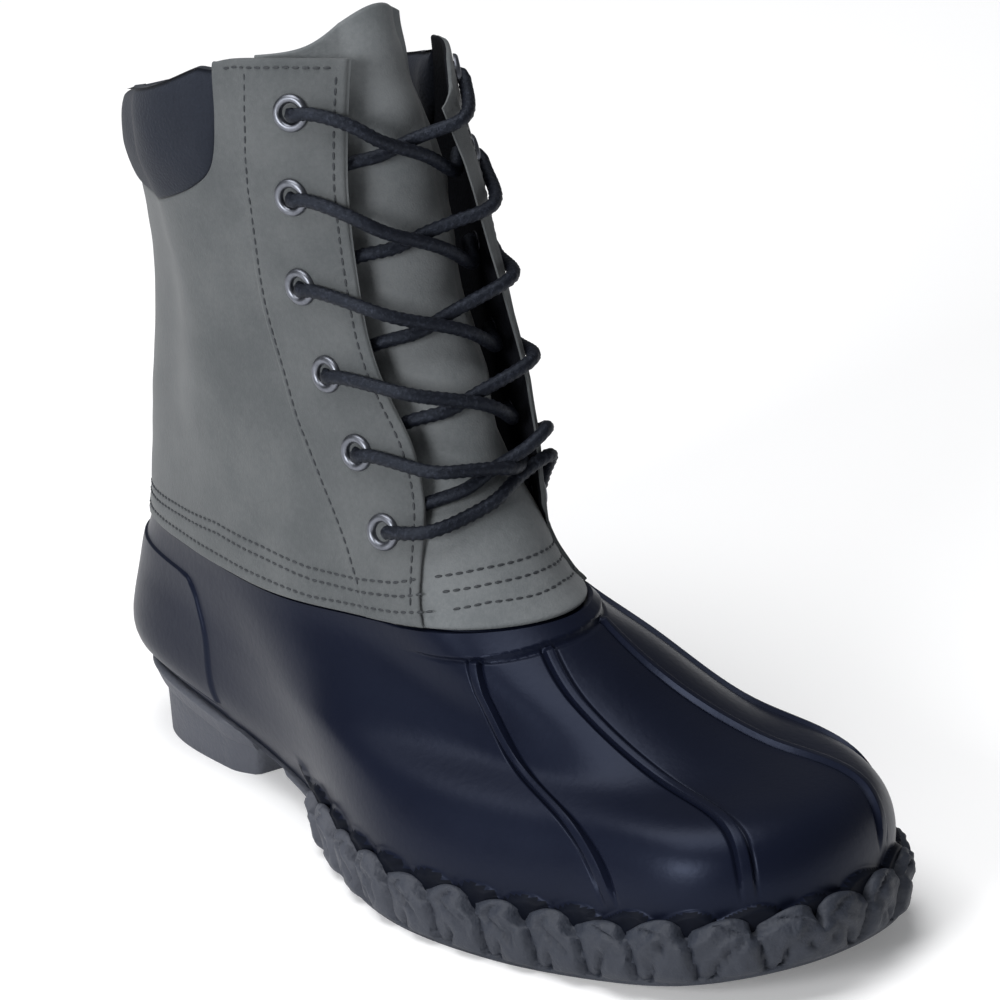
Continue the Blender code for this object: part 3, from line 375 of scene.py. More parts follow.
def sole_side(phi, rim, place, lobe_size):
    """The sole's side from the seat to the tread: cubics down through the rows above, carried round the foot.

    A point is the heel's, plus the rim's share of the way to the forefoot's. A row that follows the lobes
    sinks by their rise times what is missing of the half round. The seat is straight between its two rows.
    """
    foot = last(phi, 0)
    x = foot[:, 0] - TO_FRAME[0]
    across, floor_z = level_outward(foot), ground(x)
    thick = foot[:, 2] - floor_z
    rise = last(phi, 1)[:, 2] - foot[:, 2]
    inset = ARCH_INSET * ramp(x, .066, .084) * (1 - ramp(x, .090, .105))
    rows = []
    for row in SOLE_SIDE:
        up = row.up - LOBE_RISE * row.lobe * (1 - lobe_top(place) * lobe_size)
        fore = foot + across * row.out
        fore[:, 2] = (floor_z if row.base == "floor" else foot[:, 2]) + up
        if row.base == "shell":
            fore = on_last(phi, up / rise, row.out)
        heel = foot + across * (row.heel_out - inset * row.inset)[:, None]
        heel[:, 2] = foot[:, 2] - np.minimum(row.drop, row.share * thick)
        rows.append(heel + (fore - heel) * rim[:, None])
    weights = spline_weights(np.arange(len(SOLE_SIDE)), LEVELS)
    weights[:BETWEEN + 1] = 0
    weights[:BETWEEN + 1, 0] = 1 - LEVELS[:BETWEEN + 1]
    weights[:BETWEEN + 1, 1] = LEVELS[:BETWEEN + 1]
    return np.einsum("rk,knc->rnc", weights, np.array(rows))


def lobe_relief(place, number, vary):
    """How far the foxing stands out: each lobe puffed, less a cut, a dent, a curled ridge and a slot.

    Each is a bell curve of the distance from its own line, over the place in the lobe and the level down the
    side. The lobes lean as they go down, and the dent and the ridge lie at random places.
    """
    level = LEVELS[:, None]
    lean = place + .20 * ramp(level, 4, 8)
    within = lean - np.floor(lean)
    pick = (np.floor(lean) * side_sign + number).astype(int) % len(vary)
    cut = np.exp(-((within - .02) / .035) ** 2) + np.exp(-((within - 1.02) / .035) ** 2)
    dent = np.exp(-((within - .45 - .18 * vary[pick, 0]) / .06) ** 2
                  - ((level - 6.3 - .5 * vary[pick, 1]) / .26) ** 2)
    turned_way = np.sign(vary[pick, 3])
    curl = within - (.48 + .12 * vary[pick, 2]) - .20 * turned_way * np.sin(2.6 * (level - 4.9))
    ridge = np.exp(-(curl / .085) ** 2) * ramp(level, 4.2, 4.8) * (1 - ramp(level, 6.4, 7.0))
    slot = np.exp(-((within - .70 - .12 * (level - 7)) / .05) ** 2) * ramp(level, 6.4, 6.8)
    return .0020 * (lobe_top(within) - .7) - .0018 * cut - .0014 * dent - .0013 * ridge - .0022 * slot


def underside(edge):
    """Rows from the tread's edge straight in to the middle line, at the ground's height plus the grooves'.

    The grooves zigzag across the sole: an even set under the forefoot, and three under the heel.
    """
    share = np.linspace(0, 1, ACROSS + 1)[1:, None]
    under = edge + (middle_line(edge) - edge) * share[..., None]
    x = under[..., 0] - TO_FRAME[0]
    bent = x - ZIGZAG * np.abs(np.mod(under[..., 1] / ZIGZAG_WIDTH + .3, 2) - 1)
    fore = np.abs(np.mod(bent - FIRST_GROOVE, TREAD_PITCH) - .5 * TREAD_PITCH)
    fore = (1 - ramp(fore, *GROOVE_HALF)) * ramp(x, .150, .156) * (1 - ramp(x, .288, .292))
    heel = np.abs(bent[..., None] - HEEL_GROOVES).min(-1)
    heel = (1 - ramp(heel, *GROOVE_HALF)) * (x < .068)
    under[..., 2] = ground(x) + GROOVE_DEPTH * np.maximum(fore, heel) * ramp(share, 0, .06)
    return under


feathers = [feather_side(s) for s in (1, -1)]
steps = [np.linspace(0, length[-1], HALF_COUNT) for _, length, _ in feathers]
halves = [np.interp(step, length, psi) for step, (psi, length, _) in zip(steps, feathers)]
phi = np.concatenate([halves[0], halves[1][-2:0:-1]])
along = np.concatenate([steps[0] / feathers[0][2], steps[1][-2:0:-1] / feathers[1][2]])
side_sign = np.where(np.arange(len(phi)) < HALF_COUNT, 1, -1)
foot = last(phi, 0)
rim = ramp(foot[:, 0] - TO_FRAME[0], RIM_START, RIM_FULL)
number, place = lobe_place(along)
number = number * side_sign
draw = np.random.default_rng(4)
side = sole_side(phi, rim, place, draw.uniform(.75, 1.15, 80)[number % 80])
relief = lobe_relief(place, number, draw.uniform(-1, 1, (120, 6)))
rocky = waves(side, .007, 11) * .0006
level = LEVELS[:, None]
on_side = ramp(level, 3.6, 4.6) * (1 - ramp(level, 7.6, 8.6)) * rim
side += level_outward(foot) * ((relief + rocky) * on_side)[..., None]
side[..., 2] += rocky * on_side
seat = side[0]
over = seat + (middle_line(seat) - seat) * np.linspace(1, 0, 5)[:-1, None, None]
grid = np.concatenate([over, side, underside(side[-1])])[::-1]

foxing_rubber, spot, feed = new_finish("foxing_rubber", .62, specular=.36)
cloudy = spot.noise(.018, 3)
fine = spot.noise(.0012, 3, .6)
shade = cloudy * .6 + fine * .4
# Painted shade: the foxing's grey is mixed darker towards the toe, as a shadow falls there, from the plain
# grey at the back.
plain_grey = shade.mix((.041, .045, .058), (.076, .081, .099))
toe_shaded_grey = shade.mix((.011, .014, .023), (.027, .032, .045))
toe_shade = spot.node("ShaderNodeSeparateXYZ", values={0: spot}).step(-.06, .10)
feed(Base_Color=toe_shade.mix(plain_grey, toe_shaded_grey), Roughness=.52 + .2 * fine,
     Normal=(spot.noise(.0035, 3) * .7 + fine * .3).bump(.0008))
sole = piece("sole_moulding", grid, skin_faces(len(grid), len(phi), True), [foxing_rubber], "outsole_rubber")
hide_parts("outsole")


# Rubber bottom
# A hollow moulded rubber shoe about 2 mm thick, glossy and nearly black. Long ribs run up its vamp to a
# raised band, a counter stiffens the heel, and its scalloped lower edge shows over the foxing.
RUBBER_WALL = .0022
SEAM_T = 5.0              # t of the seam of rubber and leather
SCALLOP = .0022           # how far the scalloped lower edge stands out
RIB_T = np.array([0, 1.5, 2.8, 4.0, 4.78])
RIBS = {
    "outer": (.115, .119, .126, .095, .060),
    "middle": (.029, .031, .028, .030, .014),
    "inner": (-.056, -.056, -.060, -.040, -.046),
    "far": (-.118, -.120, -.121, -.112, -.115),
}
RIB_REACH = .0075
BAND_PSI, BAND_LOW = (-.10, -.03, .014, .06, .10), (4.80, 4.77, 4.71, 4.58, 4.52)
COUNTER_PSI, COUNTER_T = .337, 4.02


def signed(phi):
    """Phi from -.5 to .5: positive on the outer side of the foot."""
    return phi - np.round(phi)


def rib_psi(name, t):
    """Phi of a rib's crest: the cubic through its table."""
    return smooth_line(RIB_T, RIBS[name], t)


def rubber_columns(t):
    """Phi of the columns at each height: close together across each rib and the counter's edge."""
    near = np.linspace(-RIB_REACH, RIB_REACH, 19)
    lines = [np.full_like(t, -COUNTER_PSI)] + [rib_psi(n, t) for n in ("far", "inner", "middle", "outer")]
    lines += [np.full_like(t, COUNTER_PSI)]
    blocks = []
    for line, following, count in zip(lines, lines[1:] + [lines[0] + 1], (56, 28, 28, 28, 72, 50)):
        low, high = line + RIB_REACH, following - RIB_REACH
        share = np.arange(1, count + 1) / (count + 1)
        blocks += [line[:, None] + near, low[:, None] + (high - low)[:, None] * share]
    return np.concatenate(blocks, 1)


def rubber_relief(psi, t):
    """Height over the last: smooth steps for ribs, band and counter, less bell curves for their grooves."""
    off = np.zeros_like(psi)
    edge = np.interp(psi, BAND_PSI, BAND_LOW)
    for name in RIBS:
        away_from = np.abs(psi - rib_psi(name, t)) / .0045
        crest = 1 - ramp(away_from, .50, .85)
        groove = np.exp(-((away_from - 1.0) / .20) ** 2)
        off += (.0013 * crest - .0010 * groove) * ramp(t, .75, 1.5) * (1 - ramp(t - edge, -.05, .01))
    front = 1 - ramp(np.abs(psi), .07, .13)
    off += .0013 * front * ramp(t - edge, 0, .035) * (1 - ramp(t, 4.94, 4.97))
    off -= .0005 * front * np.exp(-((t - edge + .03) / .02) ** 2)
    back, top = (np.abs(psi) - COUNTER_PSI) * .70, (COUNTER_T - t) * .016
    corner = .009
    outside = np.hypot(np.clip(corner - back, 0, None), np.clip(corner - top, 0, None))
    off += .0008 * ramp(corner - outside, -.0005, .0005) * ramp(t, .60, .66)
    heel = ramp(np.abs(psi), .335, .35)
    off -= .0012 * np.exp(-((t - .46) / .05) ** 2) * heel
    return off


def scalloped_layer(psi, t):
    """Thickness of the lower edge: full below a line that follows the lobes half a lobe on, none above."""
    reach = np.interp(np.abs(psi), feathers[0][0], feathers[0][1])
    reach = reach / np.where(psi > 0, feathers[0][2], feathers[1][2])
    _, place = lobe_place(reach + .47 / LOBES)
    edge = .0092 + .0044 * lobe_top(place)
    rise = last(psi, 1)[..., 2] - last(psi, 0)[..., 2]
    fore = ramp(last(psi[0], t[0])[:, 0] - TO_FRAME[0], RIM_START - .004, RIM_FULL)
    return SCALLOP * (1 - ramp(t * rise - edge, -.0012, .0003)) * ramp(t, .02, .2) * fore


def wall_faces(rows, columns, ring):
    """Faces of a wall between an outer and an inner grid: both skins, and rims round their free edges.

    Also gives each face's kind: 0 outside, 1 inside and 2 on a rim.
    """
    count = rows * columns
    skin = skin_faces(rows, columns, ring)
    j = np.arange(columns if ring else columns - 1)
    k = (j + 1) % columns
    edges = [(k, j), (j + (rows - 1) * columns, k + (rows - 1) * columns)]
    if not ring:
        i = np.arange(rows - 1) * columns
        edges += [(i, i + columns), (i + columns + columns - 1, i + columns - 1)]
    rims = [np.stack([b, a, a + count, b + count], -1) for a, b in edges]
    faces = np.concatenate([skin, skin[:, ::-1] + count] + rims)
    kinds = np.full(len(faces), 2)
    kinds[:len(skin)] = 0
    kinds[len(skin):2 * len(skin)] = 1
    return faces, kinds


# The wall's outer face is the last moved out by the relief, and its inner face the last moved in by the
# wall. Just under the seam both step in, and a last row runs up inside the leather.
t_rows = np.concatenate([np.linspace(0, .4, 7), np.arange(.43, 1.70, .026), np.linspace(1.75, 3.8, 24),
                         np.linspace(3.86, 4.16, 13), np.linspace(4.20, 4.46, 6),
                         np.arange(4.49, 5.02, .0195)])
psi = signed(rubber_columns(t_rows))
t = np.broadcast_to(t_rows[:, None], psi.shape)
t = np.concatenate([t, [SEAM_T + .12 + .18 * ramp(np.abs(psi[-1]), .07, .13)]])
psi = np.concatenate([psi, psi[-1:]])
layer = scalloped_layer(psi, t)
soft = waves(last(psi, t), .055, 5, 2) * .00014 * ramp(t, .9, 2.0) * (1 - ramp(t, 4.2, 4.7))
step_in = -.0019 * ramp(t, 4.965, 4.985)
outer = on_last(psi, t, rubber_relief(psi, t) + layer + soft + step_in)
inner = on_last(psi, t, step_in - RUBBER_WALL)
faces, kinds = wall_faces(*psi.shape, True)

glossy, spot, feed = new_finish("glossy_rubber", .38, specular=.15, tint=(.60, .70, 1))
skin = spot.noise(.0022, 2)
cloudy = spot.noise(.045, 3)
feed(Base_Color=cloudy.mix((.0026, .0036, .0092), (.0062, .0080, .0170)),
     Roughness=.29 + .10 * cloudy + .05 * skin, Normal=(skin * .6 + spot.noise(.012) * .4).bump(.00010))
lining_cloth, spot, feed = new_finish("lining_cloth", .9, specular=.08)
weave = spot.noise(.0011, 1)
feed(Base_Color=weave.mix((.0020, .0023, .0035), (.0070, .0078, .0110)), Normal=weave.bump(.0003))
matt_black, spot, feed = new_finish("matt_black_rubber", .55, specular=.05)
feed(Base_Color=spot.noise(.004).mix((.0020, .0028, .0060), (.0060, .0075, .0130)))
raised = layer.ravel()[skin_faces(*psi.shape, True)].mean(1) > .0006
kinds[:len(raised)][raised] = 3
bottom = piece("rubber_bottom", np.stack([outer, inner]), faces, [glossy, lining_cloth, glossy, matt_black],
               "glossy_rubber", kinds)
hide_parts("upper_rubber_shell")


# Leather shaft
# Nubuck about 2 mm thick with a black cloth lining, sewn over the rubber's edge. Both quarters are open at
# the throat as lacing flaps with a stitched eyestay, and cut low at the back for the padded collar.
LEATHER_PROUD, LEATHER_WALL = .0011, .0018
FLAP_T = np.array([5.0, 5.26, 5.6, 6.3, 7.2, 8.0, 9.1])
FLAP_PSI = np.array([.082, .065, .050, .054, .051, .044, .026])
FLARE_T, FLARE_SHARE = (5.36, 5.56, 5.85, 6.2), (0, .45, .85, 1)
EYESTAY_T = np.array([4.94, 5.36, 5.55, 5.76, 6.06, 6.59, 6.98, 7.45, 7.91, 8.50, 9.15])
EYESTAY_PSI = np.array([.128, .113, .117, .127, .138, .141, .138, .130, .123, .113, .102])
METRES_PER_T = .0375          # metres of the shaft's height in one section
FLAP_STITCH = .0030       # metres from a flap's edge to its stitches
LEATHER_LOWER, CORNER = .24, .30     # how much lower the inner quarter's top is, and its corner again
# The leather's top edge, as (signed phi at the foot of the column, signed phi at its top, t at its top)
TOP_EDGE = np.array([(.082, .026, 9.00), (.088, .034, 9.03), (.105, .070, 9.10), (.125, .115, 9.14),
                     (.134, .1365, 9.125), (.140, .1400, 9.07), (.148, .1455, 8.70), (.160, .1530, 8.42),
                     (.175, .1640, 8.20), (.195, .1830, 8.055), (.230, .2230, 7.935), (.315, .315, 7.79),
                     (.41, .41, 7.755), (.5, .5, 7.75)])
PUCKER = {"first": ((.0, .024, .062, .084, .119, .163, .218, .281, .406, .5),
                    (5.30, 5.30, 5.28, 5.25, 5.24, 5.25, 5.31, 5.35, 5.31, 5.30)),
          "second": ((.0, .024, .062, .084, .119, .163, .218, .281, .406, .5),
                     (5.22, 5.22, 5.20, 5.175, 5.165, 5.175, 5.235, 5.275, 5.235, 5.225)),
          "third": ((.0, .032, .065, .096, .174, .223, .298, .41, .5),
                    (5.12, 5.13, 5.10, 5.08, 5.06, 5.09, 5.11, 5.10, 5.09))}


def flap_psi(t):
    """Phi of a lacing flap's edge: the cubic through its table."""
    return smooth_line(FLAP_T, FLAP_PSI, t)


def flare(psi, t):
    """How far a flap stands off: a square of the nearness to its edge, and nothing at the band."""
    most = np.where(psi > 0, .0025, .0060)
    near = np.clip(1 - (np.abs(psi) - flap_psi(t)) / .055, 0, 1)
    return most * near ** 2 * np.interp(t, FLARE_T, FLARE_SHARE)


def flap_step(psi, t):
    """How much higher the flap lies where the front band is under it."""
    over = np.abs(psi) - flap_psi(t)
    return np.where(psi > 0, .0012, .0003) * np.clip(1 - over / .03, 0, 1) * (1 - ramp(t, 5.40, 5.70))


def seam_line(which, psi):
    """t of one of the rows of stitches over the seam, all round: straight lines through its table."""
    return np.interp(np.abs(psi), *PUCKER[which])


def girth(psi, t):
    """Metres round the last for each whole turn of phi, at this place."""
    return np.linalg.norm(last(psi + .002, t) - last(psi - .002, t), axis=-1) / .004


def ripple(psi, t):
    """Soft unevenness of the leather, which both its faces share: wide waves and small ones."""
    base = last(psi, t)
    return waves(base, .070, 21, 2) * .0007 * ramp(t, 5.6, 6.2) + waves(base, .020, 22, 2) * .00012


def leather_relief(psi, t):
    """Height over the last: flare, steps and ripples, less a bell curve's furrow along each stitch row."""
    off = LEATHER_PROUD + flare(psi, t) + flap_step(psi, t) + ripple(psi, t)
    beside = (smooth_line(EYESTAY_T, EYESTAY_PSI, t) - np.abs(psi)) * girth(psi, t)
    off = off + .0004 * ramp(beside, -.0019, -.0011) - .00025 * np.exp(-(beside / .0008) ** 2)
    beside = (np.abs(psi) - flap_psi(t)) * girth(psi, t) - FLAP_STITCH
    off = off - .00025 * np.exp(-(beside / .0008) ** 2)
    for which in PUCKER:
        away_from = (t - seam_line(which, psi)) * METRES_PER_T
        off = off - .00030 * np.exp(-(away_from / .0011) ** 2)
    return off


def half_quarter(lower, corner, count=110):
    """Psi and t of one quarter's grid, from its flap edge to the heel: rows go up to the table's top edge.

    Its top edge by the throat is this much lower, and its corner there is cut off by this much more.
    """
    share = np.concatenate([[0, .0006, .0015, .003, .005, .008], np.linspace(.012, 1, count - 6)])
    low, high, top = (smooth_line(np.linspace(0, 1, len(TOP_EDGE)), TOP_EDGE[:, k], share) for k in range(3))
    top = top - lower * ramp(top, 8.5, 8.9) - corner * (1 - ramp(high, .026, .055))
    rise = [[0, .001, .0025, .005], np.linspace(.009, .990, 118), [.9945, .997, .999, 1.0]]
    rise = np.concatenate(rise)[:, None]
    t = SEAM_T + (top - SEAM_T) * rise
    foot_g = (low - flap_psi(SEAM_T)) / (.5 - flap_psi(SEAM_T))
    top_g = (high - flap_psi(top)) / (.5 - flap_psi(top))
    g = foot_g + (top_g - foot_g) * ramp(rise, 0, 1)
    f = flap_psi(t)
    return f + (.5 - f) * g, t, top


def rounded(distance, radius):
    """How far a surface falls back near an edge to round it: a quarter circle of the radius."""
    near = np.clip(1 - distance / radius, 0, 1)
    return radius * (1 - np.sqrt(1 - near ** 2))


# Each face of the leather is the last moved out, the outer one by the relief and the inner one by the flare
# less the wall, and both fall back in a quarter circle at the free edges.
psi_out, t_out, top_out = half_quarter(0, 0)
psi_in, t_in, top_in = half_quarter(LEATHER_LOWER, CORNER)
psi = np.concatenate([psi_out, -psi_in[:, -2::-1]], 1)
t = np.concatenate([t_out, t_in[:, -2::-1]], 1)
top = np.concatenate([top_out, top_in[-2::-1]])
from_flap = np.abs(psi) - flap_psi(t)
from_edge = np.minimum(np.minimum(top - t, t - SEAM_T) * METRES_PER_T, from_flap * girth(psi, t))
fall = rounded(from_edge, .0008)
over_band = (1 - ramp(from_flap, .018, .026)) * (1 - ramp(t, 5.36, 5.50))
inner_off = LEATHER_PROUD - LEATHER_WALL + flare(psi, t) + .0020 * over_band
outer = on_last(psi, t, leather_relief(psi, t) - fall)
inner = on_last(psi, t, inner_off + fall + ripple(psi, t))
faces, kinds = wall_faces(*psi.shape, False)


def nubuck(name, dark, light):
    """Brushed leather: cloudy colour, a fine nap of short fibres and pores, and no gloss."""
    made, at, feed = new_finish(name, .78, sheen=.12, specular=.28)
    cloud = at.noise(.030, 4, .55)
    nap = at.noise(.0016, 4, .65)
    pores = at.noise(.00055, 1)
    shade = (cloud * .65 + nap * .35).step(.30, .70)
    feed(Base_Color=(shade * .8 + pores * .2).mix(dark, light), Roughness=.70 + .2 * nap,
         Normal=(nap * .55 + pores * .45).bump(.00022))
    return made


shaft_leather = nubuck("shaft_nubuck", (.049, .055, .059), (.090, .096, .100))
quarters = piece("leather_quarters", np.stack([outer, inner]), faces,
                 [shaft_leather, lining_cloth, shaft_leather], "grey_leather", kinds)
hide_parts("upper_leather_shaft")


# Tongue
# One wide piece of the same leather. Its lower end is the front band, sewn over the rubber between the
# flaps, and it runs up behind the lace to a rounded top.
TONGUE_CROWN, TONGUE_DEPTH, TONGUE_WALL = .0030, .0064, .0018


def tongue_off(psi, t):
    """Distance of the tongue's face from the last: on the rubber at the band, and then sunk behind the flaps.

    It sinks least in the middle, by one less the square of the share of the way to the flap.
    """
    leave = ramp(t, 5.34, 5.95)
    middle = np.clip(1 - (psi / (.95 * flap_psi(t))) ** 2, 0, 1)
    sunk = TONGUE_DEPTH + (TONGUE_CROWN - TONGUE_DEPTH) * middle
    return LEATHER_PROUD - (LEATHER_PROUD + sunk) * leave


# The grid runs across by u and up by v. Its width is a line through a few heights, and its top edge a bell
# curve.
v = np.concatenate([[0, .001, .0025, .005], np.linspace(.009, .985, 150), [.990, .994, .997, 1.0]])[:, None]
u = np.concatenate([[-1, -.995, -.985], np.linspace(-.97, .97, 71), [.985, .995, 1]])
t_near = SEAM_T + 4.2 * v
half = np.interp(t_near, [5.0, 5.3, 5.55, 6.0, 9.0], [.098, .080, .070, .100, .112])
half = half - (half - .034) * ramp(t_near, 7.2, 8.7) * (u < 0)
psi = u * half
top = 9.12 + .27 * np.exp(-((psi + .004) / .040) ** 2)
t = SEAM_T + v * (top - SEAM_T)
from_edge = np.minimum(np.minimum(top - t, t - SEAM_T) * METRES_PER_T, (1 - np.abs(u)) * half * girth(psi, t))
fall = rounded(from_edge, .0009)
folds = waves(last(psi, t) * np.array([1, 1, 2.2]), .055, 31, 2) * .0009 * ramp(t, 5.6, 6.1)
furrow = sum(.0003 * np.exp(-((t - seam_line(which, psi)) * METRES_PER_T / .0011) ** 2) for which in PUCKER)
off = tongue_off(psi, t)
outer = on_last(psi, t, off - fall + folds - furrow)
inner = on_last(psi, t, off - TONGUE_WALL + fall + folds)
faces, kinds = wall_faces(*psi.shape, False)
# Painted light: the tongue is the shaft's leather, given a lighter copy of its nubuck to make up for the
# light it gets less of.
lightened_tongue_nubuck = nubuck("lightened_tongue_nubuck", (.080, .089, .095), (.140, .149, .155))
tongue = piece("leather_tongue", np.stack([outer, inner]), faces,
               [lightened_tongue_nubuck, lining_cloth, lightened_tongue_nubuck], "tongue_leather", kinds)
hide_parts("tongue")


# Stitching
# Dark polyester thread: three rows over the seam of leather and rubber, one round each eyestay, one inside
# each flap's edge, and one along the outer flap's top. Each stitch is a short rounded length.
def stitch_row(phi_line, t_line, off_line, pitch=.0031, length=.0023, width=.00042):
    """Even stitches along a line on the last: each is a ball of seven rings, stretched along the line."""
    p = on_last(phi_line, t_line, off_line)
    run = np.concatenate([[0], np.cumsum(np.linalg.norm(np.diff(p, axis=0), axis=1))])
    at = np.arange(pitch * .5, run[-1] - pitch * .5, pitch)
    centre = np.stack([np.interp(at, run, p[:, k]) for k in range(3)], -1)
    ahead = np.stack([np.interp(at + .0005, run, p[:, k]) for k in range(3)], -1) - centre
    ahead /= np.linalg.norm(ahead, axis=1, keepdims=True)
    normal = outward(np.interp(at, run, phi_line), np.interp(at, run, t_line))
    aside = np.cross(normal, ahead)
    lat = np.linspace(0, np.pi, 7)
    lon = np.arange(6) * np.pi / 3
    ball = np.stack([np.outer(np.cos(lat), np.ones(6)) * length / 2,
                     np.outer(np.sin(lat), np.cos(lon)) * width,
                     np.outer(np.sin(lat), np.sin(lon)) * width * .8], -1).reshape(-1, 3)
    ball[:6, 1:] = ball[-6:, 1:] = 0
    own_axes = np.stack([ahead, aside, normal], 1)
    points = centre[:, None] + np.einsum("ba,nac->nbc", ball, own_axes)
    faces = skin_faces(7, 6, True) + (np.arange(len(at)) * len(ball))[:, None, None]
    return points.reshape(-1, 3), faces.reshape(-1, 4)


def leather_row(phi_line, t_line):
    """A row of stitches just proud of the leather's face."""
    return stitch_row(phi_line, t_line, leather_relief(phi_line, t_line) + .0001)


def join_rows(rows):
    """One set of points and faces out of several."""
    points, faces, start = [], [], 0
    for p, f in rows:
        points.append(p)
        faces.append(f + start)
        start += len(p)
    return np.concatenate(points), np.concatenate(faces)


thread, spot, feed = new_finish("dark_thread", .6, specular=.3)
twist = spot.noise(.0006, 1)
feed(Base_Color=twist.mix((.012, .014, .017), (.040, .044, .050)), Normal=twist.bump(.00008))
rows = []
for which in PUCKER:
    for low, high in ((-.5, -.066), (.066, .5)):
        line = np.linspace(low, high, 400)
        rows.append(leather_row(line, seam_line(which, line)))
    line = np.linspace(-.062, .062, 120)
    here = seam_line(which, line)
    rows.append(stitch_row(line, here, tongue_off(line, here) - .0002))
for s in (1, -1):
    here = np.linspace(5.20, 9.09 if s > 0 else 9.09 - LEATHER_LOWER, 300)
    line = s * smooth_line(EYESTAY_T, EYESTAY_PSI, here)
    rows.append(leather_row(line, here))
    here = np.linspace(5.12, 8.92 if s > 0 else 8.92 - LEATHER_LOWER - CORNER, 300)
    line = s * (flap_psi(here) + FLAP_STITCH / girth(flap_psi(here), here))
    rows.append(leather_row(line, here))
    if s > 0:
        line = np.linspace(.038, .136, 100)
        here = np.interp(line, TOP_EDGE[:6, 1], TOP_EDGE[:6, 2]) - .075
        rows.append(leather_row(line, here))
piece("stitching", *join_rows(rows), [thread], "grey_leather")


# Padded collar
# Foam under a dark close-woven cloth, sewn into the notch at the back of the shaft, so that it swells out
# of the leather and over the top.
PAD_PSI = np.array([.140, .160, .180, .220, .315, .500])
PAD_TOP = np.array([9.12, 9.09, 9.05, 8.97, 8.89, 8.85])
PAD_LOWER = .29           # how much lower its top is on the inner side

# It fills the leather's notch from its lower edge, v = 0, to its own top edge, v = 1. The swell is a power
# of the sine of v, eased to nothing at both ends, and the top edge is rolled in a quarter circle.
share = .34 + .66 * np.concatenate([np.linspace(0, .12, 20), np.linspace(.13, 1, 70)])
side_psi, low = (smooth_line(np.linspace(0, 1, len(TOP_EDGE)), TOP_EDGE[:, k], share) for k in (1, 2))
psi = np.concatenate([side_psi, 1 - side_psi[-2::-1]])
near = np.minimum(psi, 1 - psi)
v = np.concatenate([[0, .01, .03], np.linspace(.06, .94, 40), [.97, .99, 1.0]])[:, None]
top = smooth_line(PAD_PSI, PAD_TOP, near) - PAD_LOWER * ramp(psi, .32, .50) \
    - .06 * (1 - ramp(psi, .142, .165)) - .07 * ramp(psi, .76, .84)
low = np.minimum(np.concatenate([low, low[-2::-1]]), top - .02)
t = low + v * (top - low)
swell = np.sin(np.pi * v) ** .55 * ramp(near - side_psi[0], -.0017, .040) ** .6
rolled = rounded((top - t) * METRES_PER_T, .0032)
soft = waves(last(psi, t), .030, 41, 2) * .0005 * swell
outer = on_last(psi, t, .0006 + .0032 * swell - .8 * rolled + soft)
inner = on_last(psi, t, -.0008 - .0044 * swell + .6 * rolled)
faces, _ = wall_faces(*t.shape, False)

pad_cloth, spot, feed = new_finish("pad_cloth", .82, sheen=.06, specular=.2)
weave = spot.noise(.0009, 1)
dim = spot.noise(.02, 2)
feed(Base_Color=(weave * .5 + dim * .5).mix((.0055, .0075, .0130), (.0150, .0190, .0300)),
     Normal=weave.bump(.00022))
pad = piece("padded_collar", np.stack([outer, inner]), faces, [pad_cloth], "pad_fabric")
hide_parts("collar_pad")


# Foot bed
# A thin foam sheet with a dark cloth face, lying on the sole's seat inside the rubber.
BED_RIM = ((.0036, .0005), (.0032, .0010), (.0032, .0026), (.0036, .0032), (.0046, .0034))    # in, and up

# Rings round its edge are the feather line moved in and up, and straight rows join them to its middle line
bed_phi = np.concatenate([halves[0][::3], halves[1][::3][-2:0:-1]])
wall = last(bed_phi, 0)
rings = np.array([wall - level_outward(wall) * back + np.array([0, 0, lift]) for back, lift in BED_RIM])
low, high = rings[0], rings[-1]
spread = np.linspace(0, 1, 13)[1:, None, None]
bed = np.concatenate([low + (middle_line(low) - low) * spread[::-1], rings,
                      high + (middle_line(high) - high) * spread])
bed_cloth, spot, feed = new_finish("foot_bed_cloth", .9, sheen=.1, specular=.2)
weave = spot.noise(.0012, 1)
feed(Base_Color=weave.mix((.020, .021, .024), (.045, .046, .050)), Normal=weave.bump(.0003))
foot_bed = piece("foot_bed", bed, skin_faces(len(bed), len(bed_phi), True), [bed_cloth], "foot_bed")
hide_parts("insole")


# Eyelets
# Twelve two-part metal eyelets in dark nickel: a rolled ring on the leather and a barrel through it.
Eyelet = namedtuple("Eyelet", "t psi")
EYELETS = [Eyelet(*row) for row in (
    (8.65, .070), (7.95, .083), (7.28, .094), (6.56, .095), (5.95, .090), (5.52, .080))]


def eyelet_place(eyelet, s):
    """An eyelet's centre on the leather, and its outward axis: the cross product of the slopes there."""
    psi = np.array([-.010, .010, 0, 0, 0]) + s * eyelet.psi
    t = np.array([0, 0, -.10, .10, 0]) + eyelet.t
    p = on_last(psi, t, leather_relief(psi, t))
    axis = np.cross(p[3] - p[2], p[1] - p[0])
    return p[4], axis / np.linalg.norm(axis)


def turned_ring(profile, centre, axis, sides=40):
    """A profile turned round an axis: radius times cosine and sine of the angle, and the height along it."""
    turn_to = np.array(Vector((0, 0, 1)).rotation_difference(Vector(axis)).to_matrix())
    angle = np.arange(sides) * 2 * np.pi / sides
    r, h = profile.T
    local = np.stack([np.outer(np.cos(angle), r), np.outer(np.sin(angle), r), np.tile(h, (sides, 1))], -1)
    n = len(profile)
    i, k = np.meshgrid(np.arange(sides), np.arange(n), indexing="ij")
    j, m = (i + 1) % sides, (k + 1) % n
    faces = np.stack([i * n + k, j * n + k, j * n + m, i * n + m], -1).reshape(-1, 4)
    return (local @ turn_to.T + centre).reshape(-1, 3), faces


